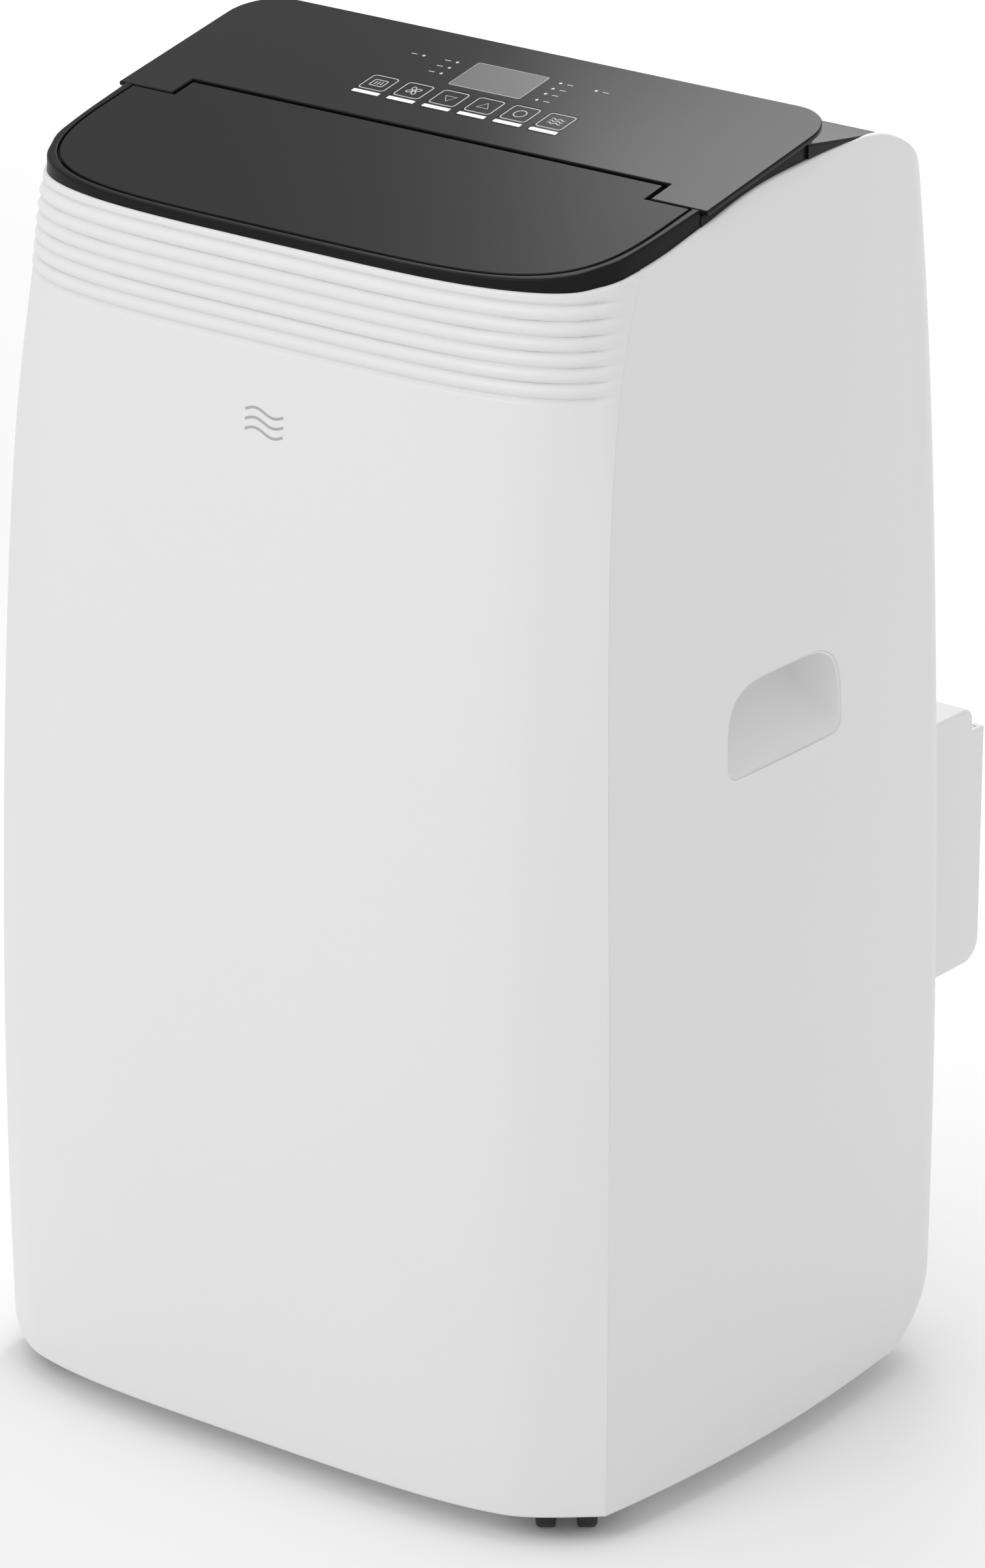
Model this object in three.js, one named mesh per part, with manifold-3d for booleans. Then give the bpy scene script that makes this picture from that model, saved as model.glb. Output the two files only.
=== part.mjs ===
// Portable air conditioner: casing, outlet, controls, casters and cooling works.
// Millimetres, +Z up, front toward -Y. Y is written about the widest front section
// and shifted by ORIGIN_Y at the end so the bounding box is centred.
import * as THREE from "three";
import { mergeVertices } from "three/addons/utils/BufferGeometryUtils.js";
import Module from "manifold-3d";

const wasm = await Module();
wasm.setup();

// ---------------------------------------------------------------- driving dimensions
const ORIGIN_Y = -103.25;
const GAP = 0.4;
const WALL = 3;
const BODY_BOTTOM = 16;
const REAR_CORNER_R = 38;
const SIDE_BOW = 0.0005;
const SIDE_BOW_Y = 72;
// The lower rear corners roll under: depth at the foot, height of the roll, and how far it runs
// forward along the side and inward along the back.
const TUCK = { depth: 56, height: 38, side: 120, back: 60 };

const PLANE_Y = 38.5;
const PLANE_Z = 739.7;
const TILT = Math.atan(0.2047);
const COVER_HALF_W = 200.5;
const PANEL_BACK_U = 106;
const PANEL_R = 28;
const PANEL_T = 3;
const EAR_X = 163;
const EAR_U = -18.8;
const SHELF_Z = 744;
const SHELF_FALL = 0.16;
const SHELF_BACK = 195;

const FLAP_HALF_W = 189.5;
const FLAP_T = 3;
const HINGE_Y = 32;
const HINGE_R = 4.5;
const HINGE_DROP = 5;

const KEY_PITCH = 24.25;
const KEY_W = 19;
const KEY_U0 = 22;
const KEY_U1 = 46;
const STEM_U = 34;
const DISPLAY = { x0: -25, x1: 24.5, u0: 51.2, u1: 80.6 };

const HANDLE = { y0: 21.5, y1: 127.7, z0: 419, top: 472, floor: 178 };
const DECK_Z = 376;
const CASTER = { x: 176.2, front: -60.5, rearX: 138, rear: 178, r: 13.5, trail: 8 };
const WELL = { r: 28.5, top: 38 };
const CASTER_TURN = 38.17;
const EXHAUST = { x0: 20, x1: 180, y0: 252.6, y1: 316, y2: 328, z0: 210, z1: 368, step: 353 };
const BORE = { x: 100, z: 287, r: 58 };
const VANE = { n: 5, pitch: 62, y0: -62, y1: 12, z: 682, chord: 28 };
const UPPER = { x: 150, z0: 430, z1: 640 };
const LOWER = { x: 150, z0: 52, z1: 196 };

// ---------------------------------------------------------------- materials
const finish = (color, roughness, metalness = 0) =>
  new THREE.MeshStandardMaterial({ color, roughness, metalness });
const MAT = {
  casing_white: finish(0xe9eaeb, 0.45),
  trim_black: finish(0x2b2c2e, 0.4),
  panel_gloss: finish(0x3a3b3d, 0.15),
  key_gloss: finish(0x36373a, 0.25),
  display_grey: finish(0x85878a, 0.2),
  duct_black: finish(0x1e1f21, 0.7),
  caster_black: finish(0x18191a, 0.6),
  filter_mesh: finish(0x6c7074, 0.9),
  foam_grey: finish(0xb9bcbe, 0.9),
  steel: finish(0x9a9da0, 0.35, 0.9),
  compressor_black: finish(0x151618, 0.4, 0.3),
  coil_aluminium: finish(0xc6c9cc, 0.4, 0.9),
  board_green: finish(0x1d5a3a, 0.6),
  rubber: finish(0x202020, 0.8),
};

// ---------------------------------------------------------------- solid helpers
function toSolid(geometry) {
  geometry.deleteAttribute("normal");
  geometry.deleteAttribute("uv");
  const g = mergeVertices(geometry, 1e-4);
  const vertProperties = new Float32Array(g.attributes.position.array);
  const triVerts = new Uint32Array(g.index.array);
  return new wasm.Manifold(new wasm.Mesh({ numProp: 3, vertProperties, triVerts }));
}

function toGeometry(manifold) {
  const mesh = manifold.getMesh();
  const g = new THREE.BufferGeometry();
  g.setAttribute("position", new THREE.BufferAttribute(mesh.vertProperties, 3));
  g.setIndex(new THREE.BufferAttribute(mesh.triVerts, 1));
  return g;
}

const union = (...solids) => solids.reduce((a, b) => a.add(b));
const cut = (solid, ...tools) => tools.reduce((a, b) => a.subtract(b), solid);

function box(x0, x1, y0, y1, z0, z1) {
  const g = new THREE.BoxGeometry(x1 - x0, y1 - y0, z1 - z0);
  g.translate((x0 + x1) / 2, (y0 + y1) / 2, (z0 + z1) / 2);
  return toSolid(g);
}

// A cylinder or frustum along an axis; at = the two fixed coordinates in x, y, z order.
function rod(axis, from, to, at, r0, r1 = r0, seg = 24) {
  const g = new THREE.CylinderGeometry(r1, r0, to - from, seg);
  const mid = (from + to) / 2;
  if (axis === "x") {
    g.rotateZ(-Math.PI / 2);
    g.translate(mid, at[0], at[1]);
  } else if (axis === "y") {
    g.translate(at[0], mid, at[1]);
  } else {
    g.rotateX(Math.PI / 2);
    g.translate(at[0], at[1], mid);
  }
  return toSolid(g);
}

const AXES = {
  x: [[0, 1, 0], [0, 0, 1], [1, 0, 0]],
  y: [[1, 0, 0], [0, 0, 1], [0, -1, 0]],
  z: [[1, 0, 0], [0, 1, 0], [0, 0, 1]],
};

// Extrudes a closed outline: (y, z) along x, (x, z) along y, or (x, y) along z.
function prism(axis, from, to, points) {
  const shape = new THREE.Shape(points.map(([a, b]) => new THREE.Vector2(a, b)));
  const g = new THREE.ExtrudeGeometry(shape, { depth: to - from, bevelEnabled: false });
  const [ax, ay, az] = AXES[axis].map((v) => new THREE.Vector3(...v));
  g.applyMatrix4(new THREE.Matrix4().makeBasis(ax, ay, az));
  const start = axis === "y" ? to : from;
  g.translate(axis === "x" ? start : 0, axis === "y" ? start : 0, axis === "z" ? start : 0);
  return toSolid(g);
}

function arc(cx, cy, r, a0, a1, n) {
  const points = [];
  for (let i = 0; i <= n; i++) {
    const t = ((a0 + ((a1 - a0) * i) / n) * Math.PI) / 180;
    points.push([cx + r * Math.cos(t), cy + r * Math.sin(t)]);
  }
  return points;
}

function rounded(x0, x1, y0, y1, r, n = 4) {
  return [
    ...arc(x1 - r, y1 - r, r, 0, 90, n),
    ...arc(x0 + r, y1 - r, r, 90, 180, n),
    ...arc(x0 + r, y0 + r, r, 180, 270, n),
    ...arc(x1 - r, y0 + r, r, 270, 360, n),
  ];
}

// Closed skin through rings of equal length, with a flat cap at each end.
function loft(rings) {
  const n = rings[0].length;
  const position = rings.flat(2);
  const index = [];
  for (let k = 0; k + 1 < rings.length; k++) {
    for (let i = 0; i < n; i++) {
      const a = k * n + i;
      const b = k * n + ((i + 1) % n);
      index.push(a, b, b + n, a, b + n, a + n);
    }
  }
  const hub = rings.length * n;
  const last = rings.length - 1;
  position.push(0, 0, rings[0][0][2], 0, 0, rings[last][0][2]);
  for (let i = 0; i < n; i++) {
    const j = (i + 1) % n;
    index.push(hub, j, i, hub + 1, last * n + i, last * n + j);
  }
  const g = new THREE.BufferGeometry();
  g.setAttribute("position", new THREE.Float32BufferAttribute(position, 3));
  g.setIndex(index);
  return toSolid(g);
}

// ---------------------------------------------------------------- casing surface
const frontBow = (z) => 121.5 - 18.1 * Math.pow(Math.abs(z - 188) / 400, 1.49);
const backWall = (z) => 263.4 - 0.0105 * z;
const creaseX = (z) => 214 - 17.6 * Math.pow(Math.abs(z - 170) / 534, 1.85);

function creaseY(z) {
  const d = Math.abs(z - 240) / 464;
  return -75.2 + 12 * d * d + 28 * Math.pow(d, 7);
}

function smooth(t) {
  const c = Math.min(1, Math.max(0, t));
  return c * c * (3 - 2 * c);
}

// Right half of the plan outline, front centre to back centre, counter-clockwise.
function halfPlan(z) {
  const bow = frontBow(z);
  const cx = creaseX(z);
  const cy = creaseY(z);
  const reach = cx / Math.pow(1 - Math.pow(Math.abs(cy) / bow, 4), 0.25);
  const front = (x) => -bow * Math.pow(1 - Math.pow(x / reach, 4), 0.25);
  const fx = cx - 36;
  const fy = front(fx);
  const soft = 0.2 + 0.8 * smooth((z - 560) / 130);
  const points = [];
  for (const t of [0, 0.3, 0.56, 0.78, 0.92, 1]) {
    points.push([fx * t, front(fx * t)]);
  }
  const mx = (fx + cx) / 2;
  const chord = (fy + cy) / 2;
  points.push([mx, chord + (front(mx) - chord) * soft]);
  const top = cx + SIDE_BOW * (cy - SIDE_BOW_Y) ** 2;
  const side = (y) => top - SIDE_BOW * (y - SIDE_BOW_Y) ** 2;
  const back = backWall(z);
  const tuck = tuckAt(z);
  const ky = back - REAR_CORNER_R;
  const kx = side(ky - tuck) - REAR_CORNER_R;
  for (const y of [cy, 0, SIDE_BOW_Y, 130, ky - 64, ky - 24]) {
    const pulled = y - tuck * smooth((y - ky + TUCK.side) / TUCK.side);
    points.push([side(pulled), pulled]);
  }
  points.push(...arc(kx, ky - tuck, REAR_CORNER_R, 0, 90, 4));
  points.push([kx - TUCK.back / 2, back - tuck / 2], [kx - TUCK.back, back], [0, back]);
  return points;
}

// How far the rolled lower rear corner is pulled forward at a height.
function tuckAt(z) {
  const t = 0.95 * Math.max(0, 1 - (Math.max(z, BODY_BOTTOM) - BODY_BOTTOM) / TUCK.height);
  return TUCK.depth * (1 - Math.sqrt(1 - t * t));
}

function plan(z, inset) {
  const half = halfPlan(z);
  const left = half.slice(1, -1).reverse().map(([x, y]) => [-x, y]);
  const ring = [...half, ...left];
  const n = ring.length;
  return ring.map(([x, y], i) => {
    const [px, py] = ring[(i + n - 1) % n];
    const [qx, qy] = ring[(i + 1) % n];
    const dx = qx - px;
    const dy = qy - py;
    const len = Math.hypot(dx, dy);
    return [x - (dy / len) * inset, y + (dx / len) * inset, z];
  });
}

const LEVELS = [16, 22, 32, 48, 74, 130, 188, 290, 380, 460, 530, 590, 640, 680, 712, 765];
const casing = (inset, z0, z1) =>
  loft([z0, ...LEVELS.filter((z) => z > z0 && z < z1), z1].map((z) => plan(z, inset)));

const planeZ = (y) => PLANE_Z + Math.tan(TILT) * (y - PLANE_Y);

// Upper edge of the white casing in side view.
function topEdge(drop) {
  const back = 256.8;
  const points = [[-200, 700 - drop], [-90, 708 - drop], [-62, 709.5 - drop]];
  points.push([-16, 717.4 - drop], [20, 726.4 - drop], [52, 734.6 - drop]);
  points.push([80, 738.8 - drop], [120, 740.6 - drop]);
  for (let i = 0; i <= 8; i++) {
    const t = Math.sin((i / 8) * (Math.PI / 2));
    const h = Math.pow(Math.max(0, 1 - Math.pow(t, 2.6)), 1 / 2.6);
    points.push([150 + (back - 150 - drop) * t, 645 + (95.6 - drop) * h]);
  }
  return points;
}

const belowEdge = (drop) =>
  prism("x", -260, 260, [[300, -50], [300, 640], ...topEdge(drop).reverse(), [-200, -50]]);

// Side-view region in front of the vertical seam, moved back by shift.
function frontRegion(shift) {
  const points = [[-300, 0]];
  for (let z = 0; z <= 720; z += 40) {
    points.push([creaseY(z) + shift, z]);
  }
  return prism("x", -260, 260, [...points, [-300, 720]]);
}

// Parts lying on the sloping top are drawn flat (x, u, w) and then laid on the slope.
function onSlope(solid) {
  const m = new THREE.Matrix4().makeRotationX(TILT);
  m.setPosition(0, PLANE_Y, PLANE_Z);
  return solid.transform(m.elements);
}

const parts = [];

function add(name, solid, material) {
  const mesh = new THREE.Mesh(toGeometry(solid.simplify(0.02)), material);
  mesh.name = name;
  mesh.geometry.translate(0, ORIGIN_Y, 0);
  parts.push(mesh);
}

// ---------------------------------------------------------------- casing
const outer = casing(0, BODY_BOTTOM, 765);
const inner = casing(WALL, BODY_BOTTOM - 6, 766);
const skin = cut(outer.intersect(belowEdge(0)), inner.intersect(belowEdge(WALL)));
// Mouth in the white casing that takes the black top, with round corners behind the shelf.
function mouthPlan(grow) {
  const r = 8 + grow;
  const cy = SHELF_BACK - 8;
  const turn = (Math.asin(grow / r) * 180) / Math.PI;
  return [
    [-230, -200], [230, -200], [230, cy + grow],
    ...arc(178, cy, r, turn, 90, 3), ...arc(-178, cy, r, 90, 180 - turn, 3),
    [-230, cy + grow],
  ];
}
const mouth = prism("z", 690, 800, mouthPlan(0.6)).intersect(casing(WALL - 0.05, 640, 765));
const shell = skin.subtract(mouth);
add("front_panel", shell.intersect(frontRegion(0)), MAT.casing_white);

function gripOutline(grow) {
  const { y0, y1, z0, top } = HANDLE;
  const mid = (y0 + y1) / 2;
  const half = (y1 - y0) / 2;
  const points = [];
  for (let i = 0; i <= 10; i++) {
    const t = Math.PI * (i / 10);
    const y = mid + (half + grow) * Math.sign(Math.cos(t)) * Math.pow(Math.abs(Math.cos(t)), 0.5);
    points.push([y, z0 + 8 + (top - z0 - 8 + grow) * Math.pow(Math.sin(t), 0.55)]);
  }
  points.push(...arc(y0 + 8, z0 + 8, 8 + grow, 180, 270, 3));
  points.push(...arc(y1 - 8, z0 + 8, 8 + grow, 270, 360, 3));
  return points.filter(([a, b], i) => {
    const [c, d] = points[(i + 1) % points.length];
    return Math.hypot(a - c, b - d) > 0.5;
  });
}

function gripHole(side, grow) {
  const [from, to] = side > 0 ? [150, 240] : [-240, -150];
  return prism("x", from, to, gripOutline(grow));
}

// Straight at the mouth, then the floor and end walls close in toward the top.
function gripScoop(side, grow, floor, lean) {
  const { y0, y1, top } = HANDLE;
  const mid = (y0 + y1) / 2;
  const ring = (x, taper) => gripOutline(grow).map(([y, z]) =>
    [side * x, mid + (y - mid) * (1 - 0.24 * taper), top - (top - z) * (1 - 0.66 * taper)]);
  return wasm.Manifold.hull([...ring(240, 0), ...ring(217, 0), ...ring(floor, lean)]);
}

const UPPER_DRAIN = { x: -150, z: 392 };
const LOWER_DRAIN = { x: -108, z: 34 };
const drainHole = (at, r) => rod("y", 235, 275, [at.x, at.z], r, r, 20);

const window = (w, grow) => box(-w.x - grow, w.x + grow, 238, 280, w.z0 - grow, w.z1 + grow);
let rearSkin = shell.subtract(frontRegion(0.6));
rearSkin = cut(
  rearSkin,
  gripHole(1, GAP * 1.5),
  gripHole(-1, GAP * 1.5),
  window(UPPER, GAP),
  window(LOWER, GAP),
  box(EXHAUST.x0 - GAP, EXHAUST.x1 + GAP, 240, 300, EXHAUST.z0 - GAP, EXHAUST.z1 + GAP),
  drainHole(UPPER_DRAIN, 9.4),
  drainHole(LOWER_DRAIN, 9.4),
  rod("y", 235, 275, [-110, 290], 11.4, 11.4, 20),
);
const largest = (solid) => solid.decompose().reduce((a, b) => (a.volume() > b.volume() ? a : b));
add("rear_shell", largest(rearSkin), MAT.casing_white);

for (const [side, name] of [[1, "handle_right"], [-1, "handle_left"]]) {
  const { floor } = HANDLE;
  const cup = gripScoop(side, 0, floor - 3, 0.94).intersect(outer);
  add(name, cup.subtract(gripScoop(side, -2.6, floor, 1)), MAT.casing_white);
}

// ---------------------------------------------------------------- black top
const flapOutline = (grow, back) => {
  const w = FLAP_HALF_W + grow;
  const points = [];
  for (let i = 0; i <= 14; i++) {
    const t = Math.PI * (1 - i / 14);
    const c = Math.cos(t);
    points.push([w * Math.sign(c) * Math.pow(Math.abs(c), 0.42),
      -20 - (109 + grow) * Math.pow(Math.sin(t), 0.5)]);
  }
  return [...points, [w, back], [-w, back]];
};
const keyX = (i) => (i - 2.5) * KEY_PITCH - 0.4;
const slab = (points, w0, w1) => onSlope(prism("z", w0, w1, points));

const slopeTop = (drop) => prism("x", -260, 260, [
  [-260, 500], [160, 500], [160, planeZ(160) - drop], [-260, planeZ(-260) - drop]]);
const shelfZ = (y) => SHELF_Z - SHELF_FALL * (y - 150);
const shelfTop = (drop) => prism("x", -260, 260, [
  [100, 500], [SHELF_BACK, 500], [SHELF_BACK, shelfZ(SHELF_BACK) - 3 - drop],
  [SHELF_BACK - 3, shelfZ(SHELF_BACK - 3) - drop], [100, shelfZ(100) - drop]]);
function panelOutline(grow) {
  const w = COVER_HALF_W + 4 * grow;
  const back = PANEL_BACK_U + 4 * grow;
  const ear = EAR_X - grow;
  return [
    [-ear, -grow], [-ear, EAR_U - grow], [-w, EAR_U - grow],
    ...arc(-w + PANEL_R, back - PANEL_R, PANEL_R, 180, 90, 6),
    ...arc(w - PANEL_R, back - PANEL_R, PANEL_R, 90, 0, 6),
    [w, EAR_U - grow], [ear, EAR_U - grow], [ear, -grow],
  ].reverse();
}
function blockPlan(inset) {
  const back = PLANE_Y + PANEL_BACK_U * Math.cos(TILT) - inset;
  const w = COVER_HALF_W - inset;
  return prism("z", 500, 800, [
    [-w, -200], [w, -200], ...arc(w - PANEL_R, back - PANEL_R, PANEL_R, 0, 90, 6),
    ...arc(-w + PANEL_R, back - PANEL_R, PANEL_R, 90, 180, 6)]);
}

const coverMass = (inset, thick, skinDepth) =>
  union(slopeTop(thick).intersect(blockPlan(inset)), shelfTop(Math.min(thick, WALL)))
    .intersect(casing(skinDepth + inset, 640, 765))
    .intersect(prism("z", 702, 800, mouthPlan(-inset)));
const edgeLine = topEdge(-0.5).filter(([y]) => y < SHELF_BACK);
const aboveEdge = prism("x", -260, 260, [
  ...edgeLine, [SHELF_BACK, edgeLine.at(-1)[1]], [SHELF_BACK, 800], [-200, 800]]);
let cover = union(coverMass(0, 0, 1).intersect(aboveEdge), coverMass(0, 0, WALL + GAP));
cover = cut(
  cover,
  coverMass(WALL, 6.4, WALL + GAP).add(coverMass(WALL, 6.4, WALL + GAP).translate(0, 0, -8)),
  slab(panelOutline(GAP), -PANEL_T - GAP, 30),
  slab(flapOutline(1.4, 2), -FLAP_T - 1, 30),
  prism("z", 640, 800, rounded(-176, 176, -76, 26, 30)),
  box(-161.5, 161.5, HINGE_Y - 12, HINGE_Y + 6.4, 700, 800),
);
for (let i = 0; i < 6; i++) {
  cover = cover.subtract(slab(rounded(keyX(i) - 4, keyX(i) + 4, STEM_U - 5, STEM_U + 5, 1.5, 1), -12, 12));
}
const pinZ = planeZ(HINGE_Y) - HINGE_DROP;
for (const s of [-1, 1]) {
  const [a, b] = s > 0 ? [152, 162.2] : [-162.2, -152];
  const [c, d] = s > 0 ? [161.6, 172] : [-172, -161.6];
  const lug = box(c, d, HINGE_Y - 3.5, HINGE_Y + 14, pinZ - 12, pinZ + 0.6);
  const heel = box(c, d, HINGE_Y + 7, HINGE_Y + 14, pinZ - 12, pinZ + 3);
  cover = union(cover, lug, heel, rod("x", a, b, [HINGE_Y, pinZ], 2, 2, 16));
}
add("top_cover", cover, MAT.trim_black);

let plate = slab(panelOutline(0), -PANEL_T, 0);
for (let i = 0; i < 6; i++) {
  const x = keyX(i);
  plate = plate.subtract(slab(rounded(x - KEY_W / 2 - GAP, x + KEY_W / 2 + GAP,
    KEY_U0 - GAP, KEY_U1 + GAP, 2.4, 2), -9, 9));
}
const D = DISPLAY;
plate = plate.subtract(slab(rounded(D.x0 - GAP, D.x1 + GAP, D.u0 - GAP, D.u1 + GAP, 2), -9, 9));
add("control_panel", plate, MAT.panel_gloss);
add("display_window", slab(rounded(D.x0, D.x1, D.u0, D.u1, 1.6), -2.4, 0), MAT.display_grey);

const KEYS = ["key_timer", "key_fan_speed", "key_down", "key_up", "key_mode", "key_power"];
KEYS.forEach((name, i) => {
  const x = keyX(i);
  const cap = rounded(x - KEY_W / 2, x + KEY_W / 2, KEY_U0, KEY_U1, 2, 2);
  const stem = rounded(x - 3, x + 3, STEM_U - 4, STEM_U + 4, 1, 1);
  add(name, union(slab(cap, -2.2, 0), slab(stem, -4.6, -2)), MAT.key_gloss);
});
add("control_board", slab(rounded(-82, 82, 8, 84, 3), -8.6, -7), MAT.board_green);

let flap = slab(flapOutline(0, EAR_U - 1.2), -FLAP_T, 0);
flap = union(
  flap,
  slab([[-EAR_X + 2.6, EAR_U - 6], [EAR_X - 2.6, EAR_U - 6], [EAR_X - 2.6, -6.7],
    [-EAR_X + 2.6, -6.7]], -FLAP_T, 0),
  rod("x", -EAR_X + 3.6, EAR_X - 3.6, [HINGE_Y, pinZ], HINGE_R, HINGE_R, 24),
  slab([[-EAR_X + 3.6, EAR_U], [EAR_X - 3.6, EAR_U], [EAR_X - 3.6, -6.6], [-EAR_X + 3.6, -6.6]], -FLAP_T, 0),
);
flap = cut(flap, rod("x", -170, -150, [HINGE_Y, pinZ], 2.5, 2.5, 16),
  rod("x", 150, 170, [HINGE_Y, pinZ], 2.5, 2.5, 16));
add("air_flap", flap, MAT.trim_black);

// ---------------------------------------------------------------- outlet throat and vanes
const ductZ0 = 648;
const ductZ1 = 700;
const ductPlan = (grow) => rounded(-170 - grow, 170 + grow, -71 - grow, 21 + grow, 12 + grow);
const vaneX = (i) => (i - (VANE.n - 1) / 2) * VANE.pitch;
let duct = prism("z", ductZ0, ductZ1, ductPlan(3)).subtract(
  prism("z", ductZ0 - 1, ductZ1 + 1, ductPlan(0)));
for (let i = 0; i < VANE.n; i++) {
  duct = duct.subtract(rod("y", -90, 40, [vaneX(i), VANE.z], 2.7, 2.7, 12));
}
duct = union(duct, box(172, 178, -30, -8, ductZ0 + 6, ductZ0 + 30));
add("air_outlet_duct", duct, MAT.duct_black);

const linkDrop = 22;
for (let i = 0; i < VANE.n; i++) {
  const x = vaneX(i);
  const blade = box(x - 1.1, x + 1.1, VANE.y0, VANE.y1, VANE.z - VANE.chord / 2, VANE.z + VANE.chord / 2);
  const hub = rod("y", VANE.y0, VANE.y1, [x, VANE.z], 3.4, 3.4, 8);
  const pins = rod("y", VANE.y0 - 11, VANE.y1 + 11, [x, VANE.z], 2.1, 2.1, 8);
  const arm = box(x - 1.1, x + 1.1, -30, -24, VANE.z - linkDrop - 3, VANE.z);
  const crank = rod("y", -34, -20, [x, VANE.z - linkDrop], 1.8, 1.8, 8);
  add(`vane_${i + 1}`, union(blade, hub, pins, arm, crank), MAT.trim_black);
}
const linkZ = VANE.z - linkDrop;
let link = box(vaneX(0) - 6, vaneX(VANE.n - 1) + 6, -33, -31, linkZ - 4.5, linkZ + 4.5);
for (let i = 0; i < VANE.n; i++) {
  link = link.subtract(rod("y", -40, -28, [vaneX(i), linkZ], 2.5, 2.5, 12));
}
add("vane_link", link, MAT.trim_black);

const motorY = HINGE_Y + 2;
const flapMotor = union(
  rod("x", 176, 190, [motorY + 16, pinZ - 24], 12, 12, 24),
  box(174, 176.5, motorY + 2, motorY + 30, pinZ - 36, pinZ - 14),
);
add("flap_motor", flapMotor, MAT.steel);

// ---------------------------------------------------------------- grip, exhaust and inlets
const E = EXHAUST;
const bore = (y0, y1, r) => rod("y", y0, y1, [BORE.x, BORE.z], r, r, 32);
const exhaustSide = [
  [E.y0 - 6, E.z0], ...arc(E.y2 - 14, E.z0 + 14, 14, 270, 360, 4), [E.y2, E.step],
  [E.y1, E.step], ...arc(E.y1 - 8, E.z1 - 8, 8, 0, 90, 3), [E.y0 - 6, E.z1],
];
const exhaustBox = cut(
  prism("x", E.x0, E.x1, exhaustSide),
  bore(E.y0 - 10, E.y2 + 2, BORE.r),
  box(E.x0 + 7, E.x1 - 7, E.y1, E.y2 + 2, E.z0 + 14, E.step + 1),
  box(E.x0 + 3, E.x1 - 3, E.y1, E.y2 - 3.5, E.z0 + 14, E.step + 1),
);
add("exhaust_outlet", exhaustBox, MAT.casing_white);
const adapterPlate = union(
  box(E.x0 + 7.5, E.x1 - 7.5, E.y1 + 0.5, E.y2, E.z0 + 14.5, E.step),
  box(E.x0 + 3.5, E.x1 - 3.5, E.y1 + 0.5, E.y2 - 4, E.z0 + 14.5, E.step),
);
add("hose_adapter", adapterPlate.subtract(bore(E.y1 - 2, E.y2 + 2, BORE.r)), MAT.casing_white);

function grille(w, name) {
  const slabY = box(-w.x, w.x, 244, 270, w.z0, w.z1);
  let g = slabY.intersect(casing(0, BODY_BOTTOM, 765));
  g = g.subtract(box(-w.x + 6, w.x - 6, 240, 250, w.z0 + 6, w.z1 - 6));
  const rows = Math.floor((w.z1 - w.z0 - 16) / 18);
  const pitch = (w.z1 - w.z0 - 16) / rows;
  for (let i = 0; i < rows; i++) {
    const z = w.z0 + 8 + pitch * (i + 0.5);
    for (const [a, b] of [[-w.x + 10, -54], [-48, 48], [54, w.x - 10]]) {
      g = g.subtract(box(a, b, 240, 275, z - pitch * 0.3, z + pitch * 0.3));
    }
  }
  add(`${name}_grille`, g, MAT.casing_white);
  let f = box(-w.x + 7, w.x - 7, 245.6, 249.4, w.z0 + 7, w.z1 - 7);
  for (const x of [-71, 71]) {
    f = f.subtract(box(x - 64, x + 64, 244, 247, w.z0 + 12, w.z1 - 12));
  }
  add(`${name}_filter`, f, MAT.filter_mesh);
}
grille(UPPER, "upper");
grille(LOWER, "lower");

// ---------------------------------------------------------------- base and casters
const trayPlan = (inset) => plan(BODY_BOTTOM, inset);
const trayLoft = (inset, z0, z1) =>
  loft([z0, z1].map((z) => trayPlan(inset).map(([x, y]) => [x, y, z])));
const casterSpots = [
  ["fr", CASTER.x, CASTER.front], ["fl", -CASTER.x, CASTER.front],
  ["rr", CASTER.rearX, CASTER.rear], ["rl", -CASTER.rearX, CASTER.rear],
];
let tray = trayLoft(WALL + 2.2, BODY_BOTTOM, 40).subtract(trayLoft(WALL + 5.2, BODY_BOTTOM + 4, 50));
for (const [, x, y] of casterSpots) {
  const well = rod("z", BODY_BOTTOM, WELL.top + 4, [x, y], WELL.r + 2, WELL.r + 2, 24);
  tray = tray.add(well.intersect(trayLoft(WALL + 2.2, BODY_BOTTOM, 50)));
}
for (const [, x, y] of casterSpots) {
  tray = tray.subtract(rod("z", BODY_BOTTOM - 1, WELL.top, [x, y], WELL.r, WELL.r, 24));
  tray = tray.subtract(rod("z", WELL.top - 1, WELL.top + 5, [x, y], 5.2, 5.2, 10));
}
add("base_tray", tray.subtract(drainHole(LOWER_DRAIN, 9.6)), MAT.casing_white);

// Twin-wheel casters, drawn about the swivel axis and turned as they stand after a push.
function casterFork() {
  const { r, trail } = CASTER;
  const { top } = WELL;
  const tunnel = (a, b) => rod("x", a, b, [-trail, r], r + 1.4, r + 1.4, 24);
  const head = rod("z", top - 8, top - 0.8, [0, 0], 20, 18, 20);
  const web = box(-4.6, 4.6, -trail - 7, 6, r - 5, top - 6);
  const stem = rod("z", top - 1, top + 4.6, [0, 0], 4.2, 4.2, 10);
  const crown = box(-16.5, 16.5, -trail - 20, -trail + 20, r + 10, top - 4);
  const hood = rod("x", -16.5, 16.5, [-trail, r], r + 3.2, r + 3.2, 24).intersect(crown);
  const pinHole = rod("x", -6, 6, [-trail, r], 3.4, 3.4, 10);
  return cut(union(head, web, stem, hood), pinHole, tunnel(-18.9, -4.7), tunnel(4.7, 18.9));
}

function casterWheels() {
  const { r, trail } = CASTER;
  const wheel = (a, b) => rod("x", a, b, [-trail, r], r, r, 24);
  return union(wheel(-17, -5.4), wheel(5.4, 17), rod("x", -8, 8, [-trail, r], 2.8, 2.8, 10));
}

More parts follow.
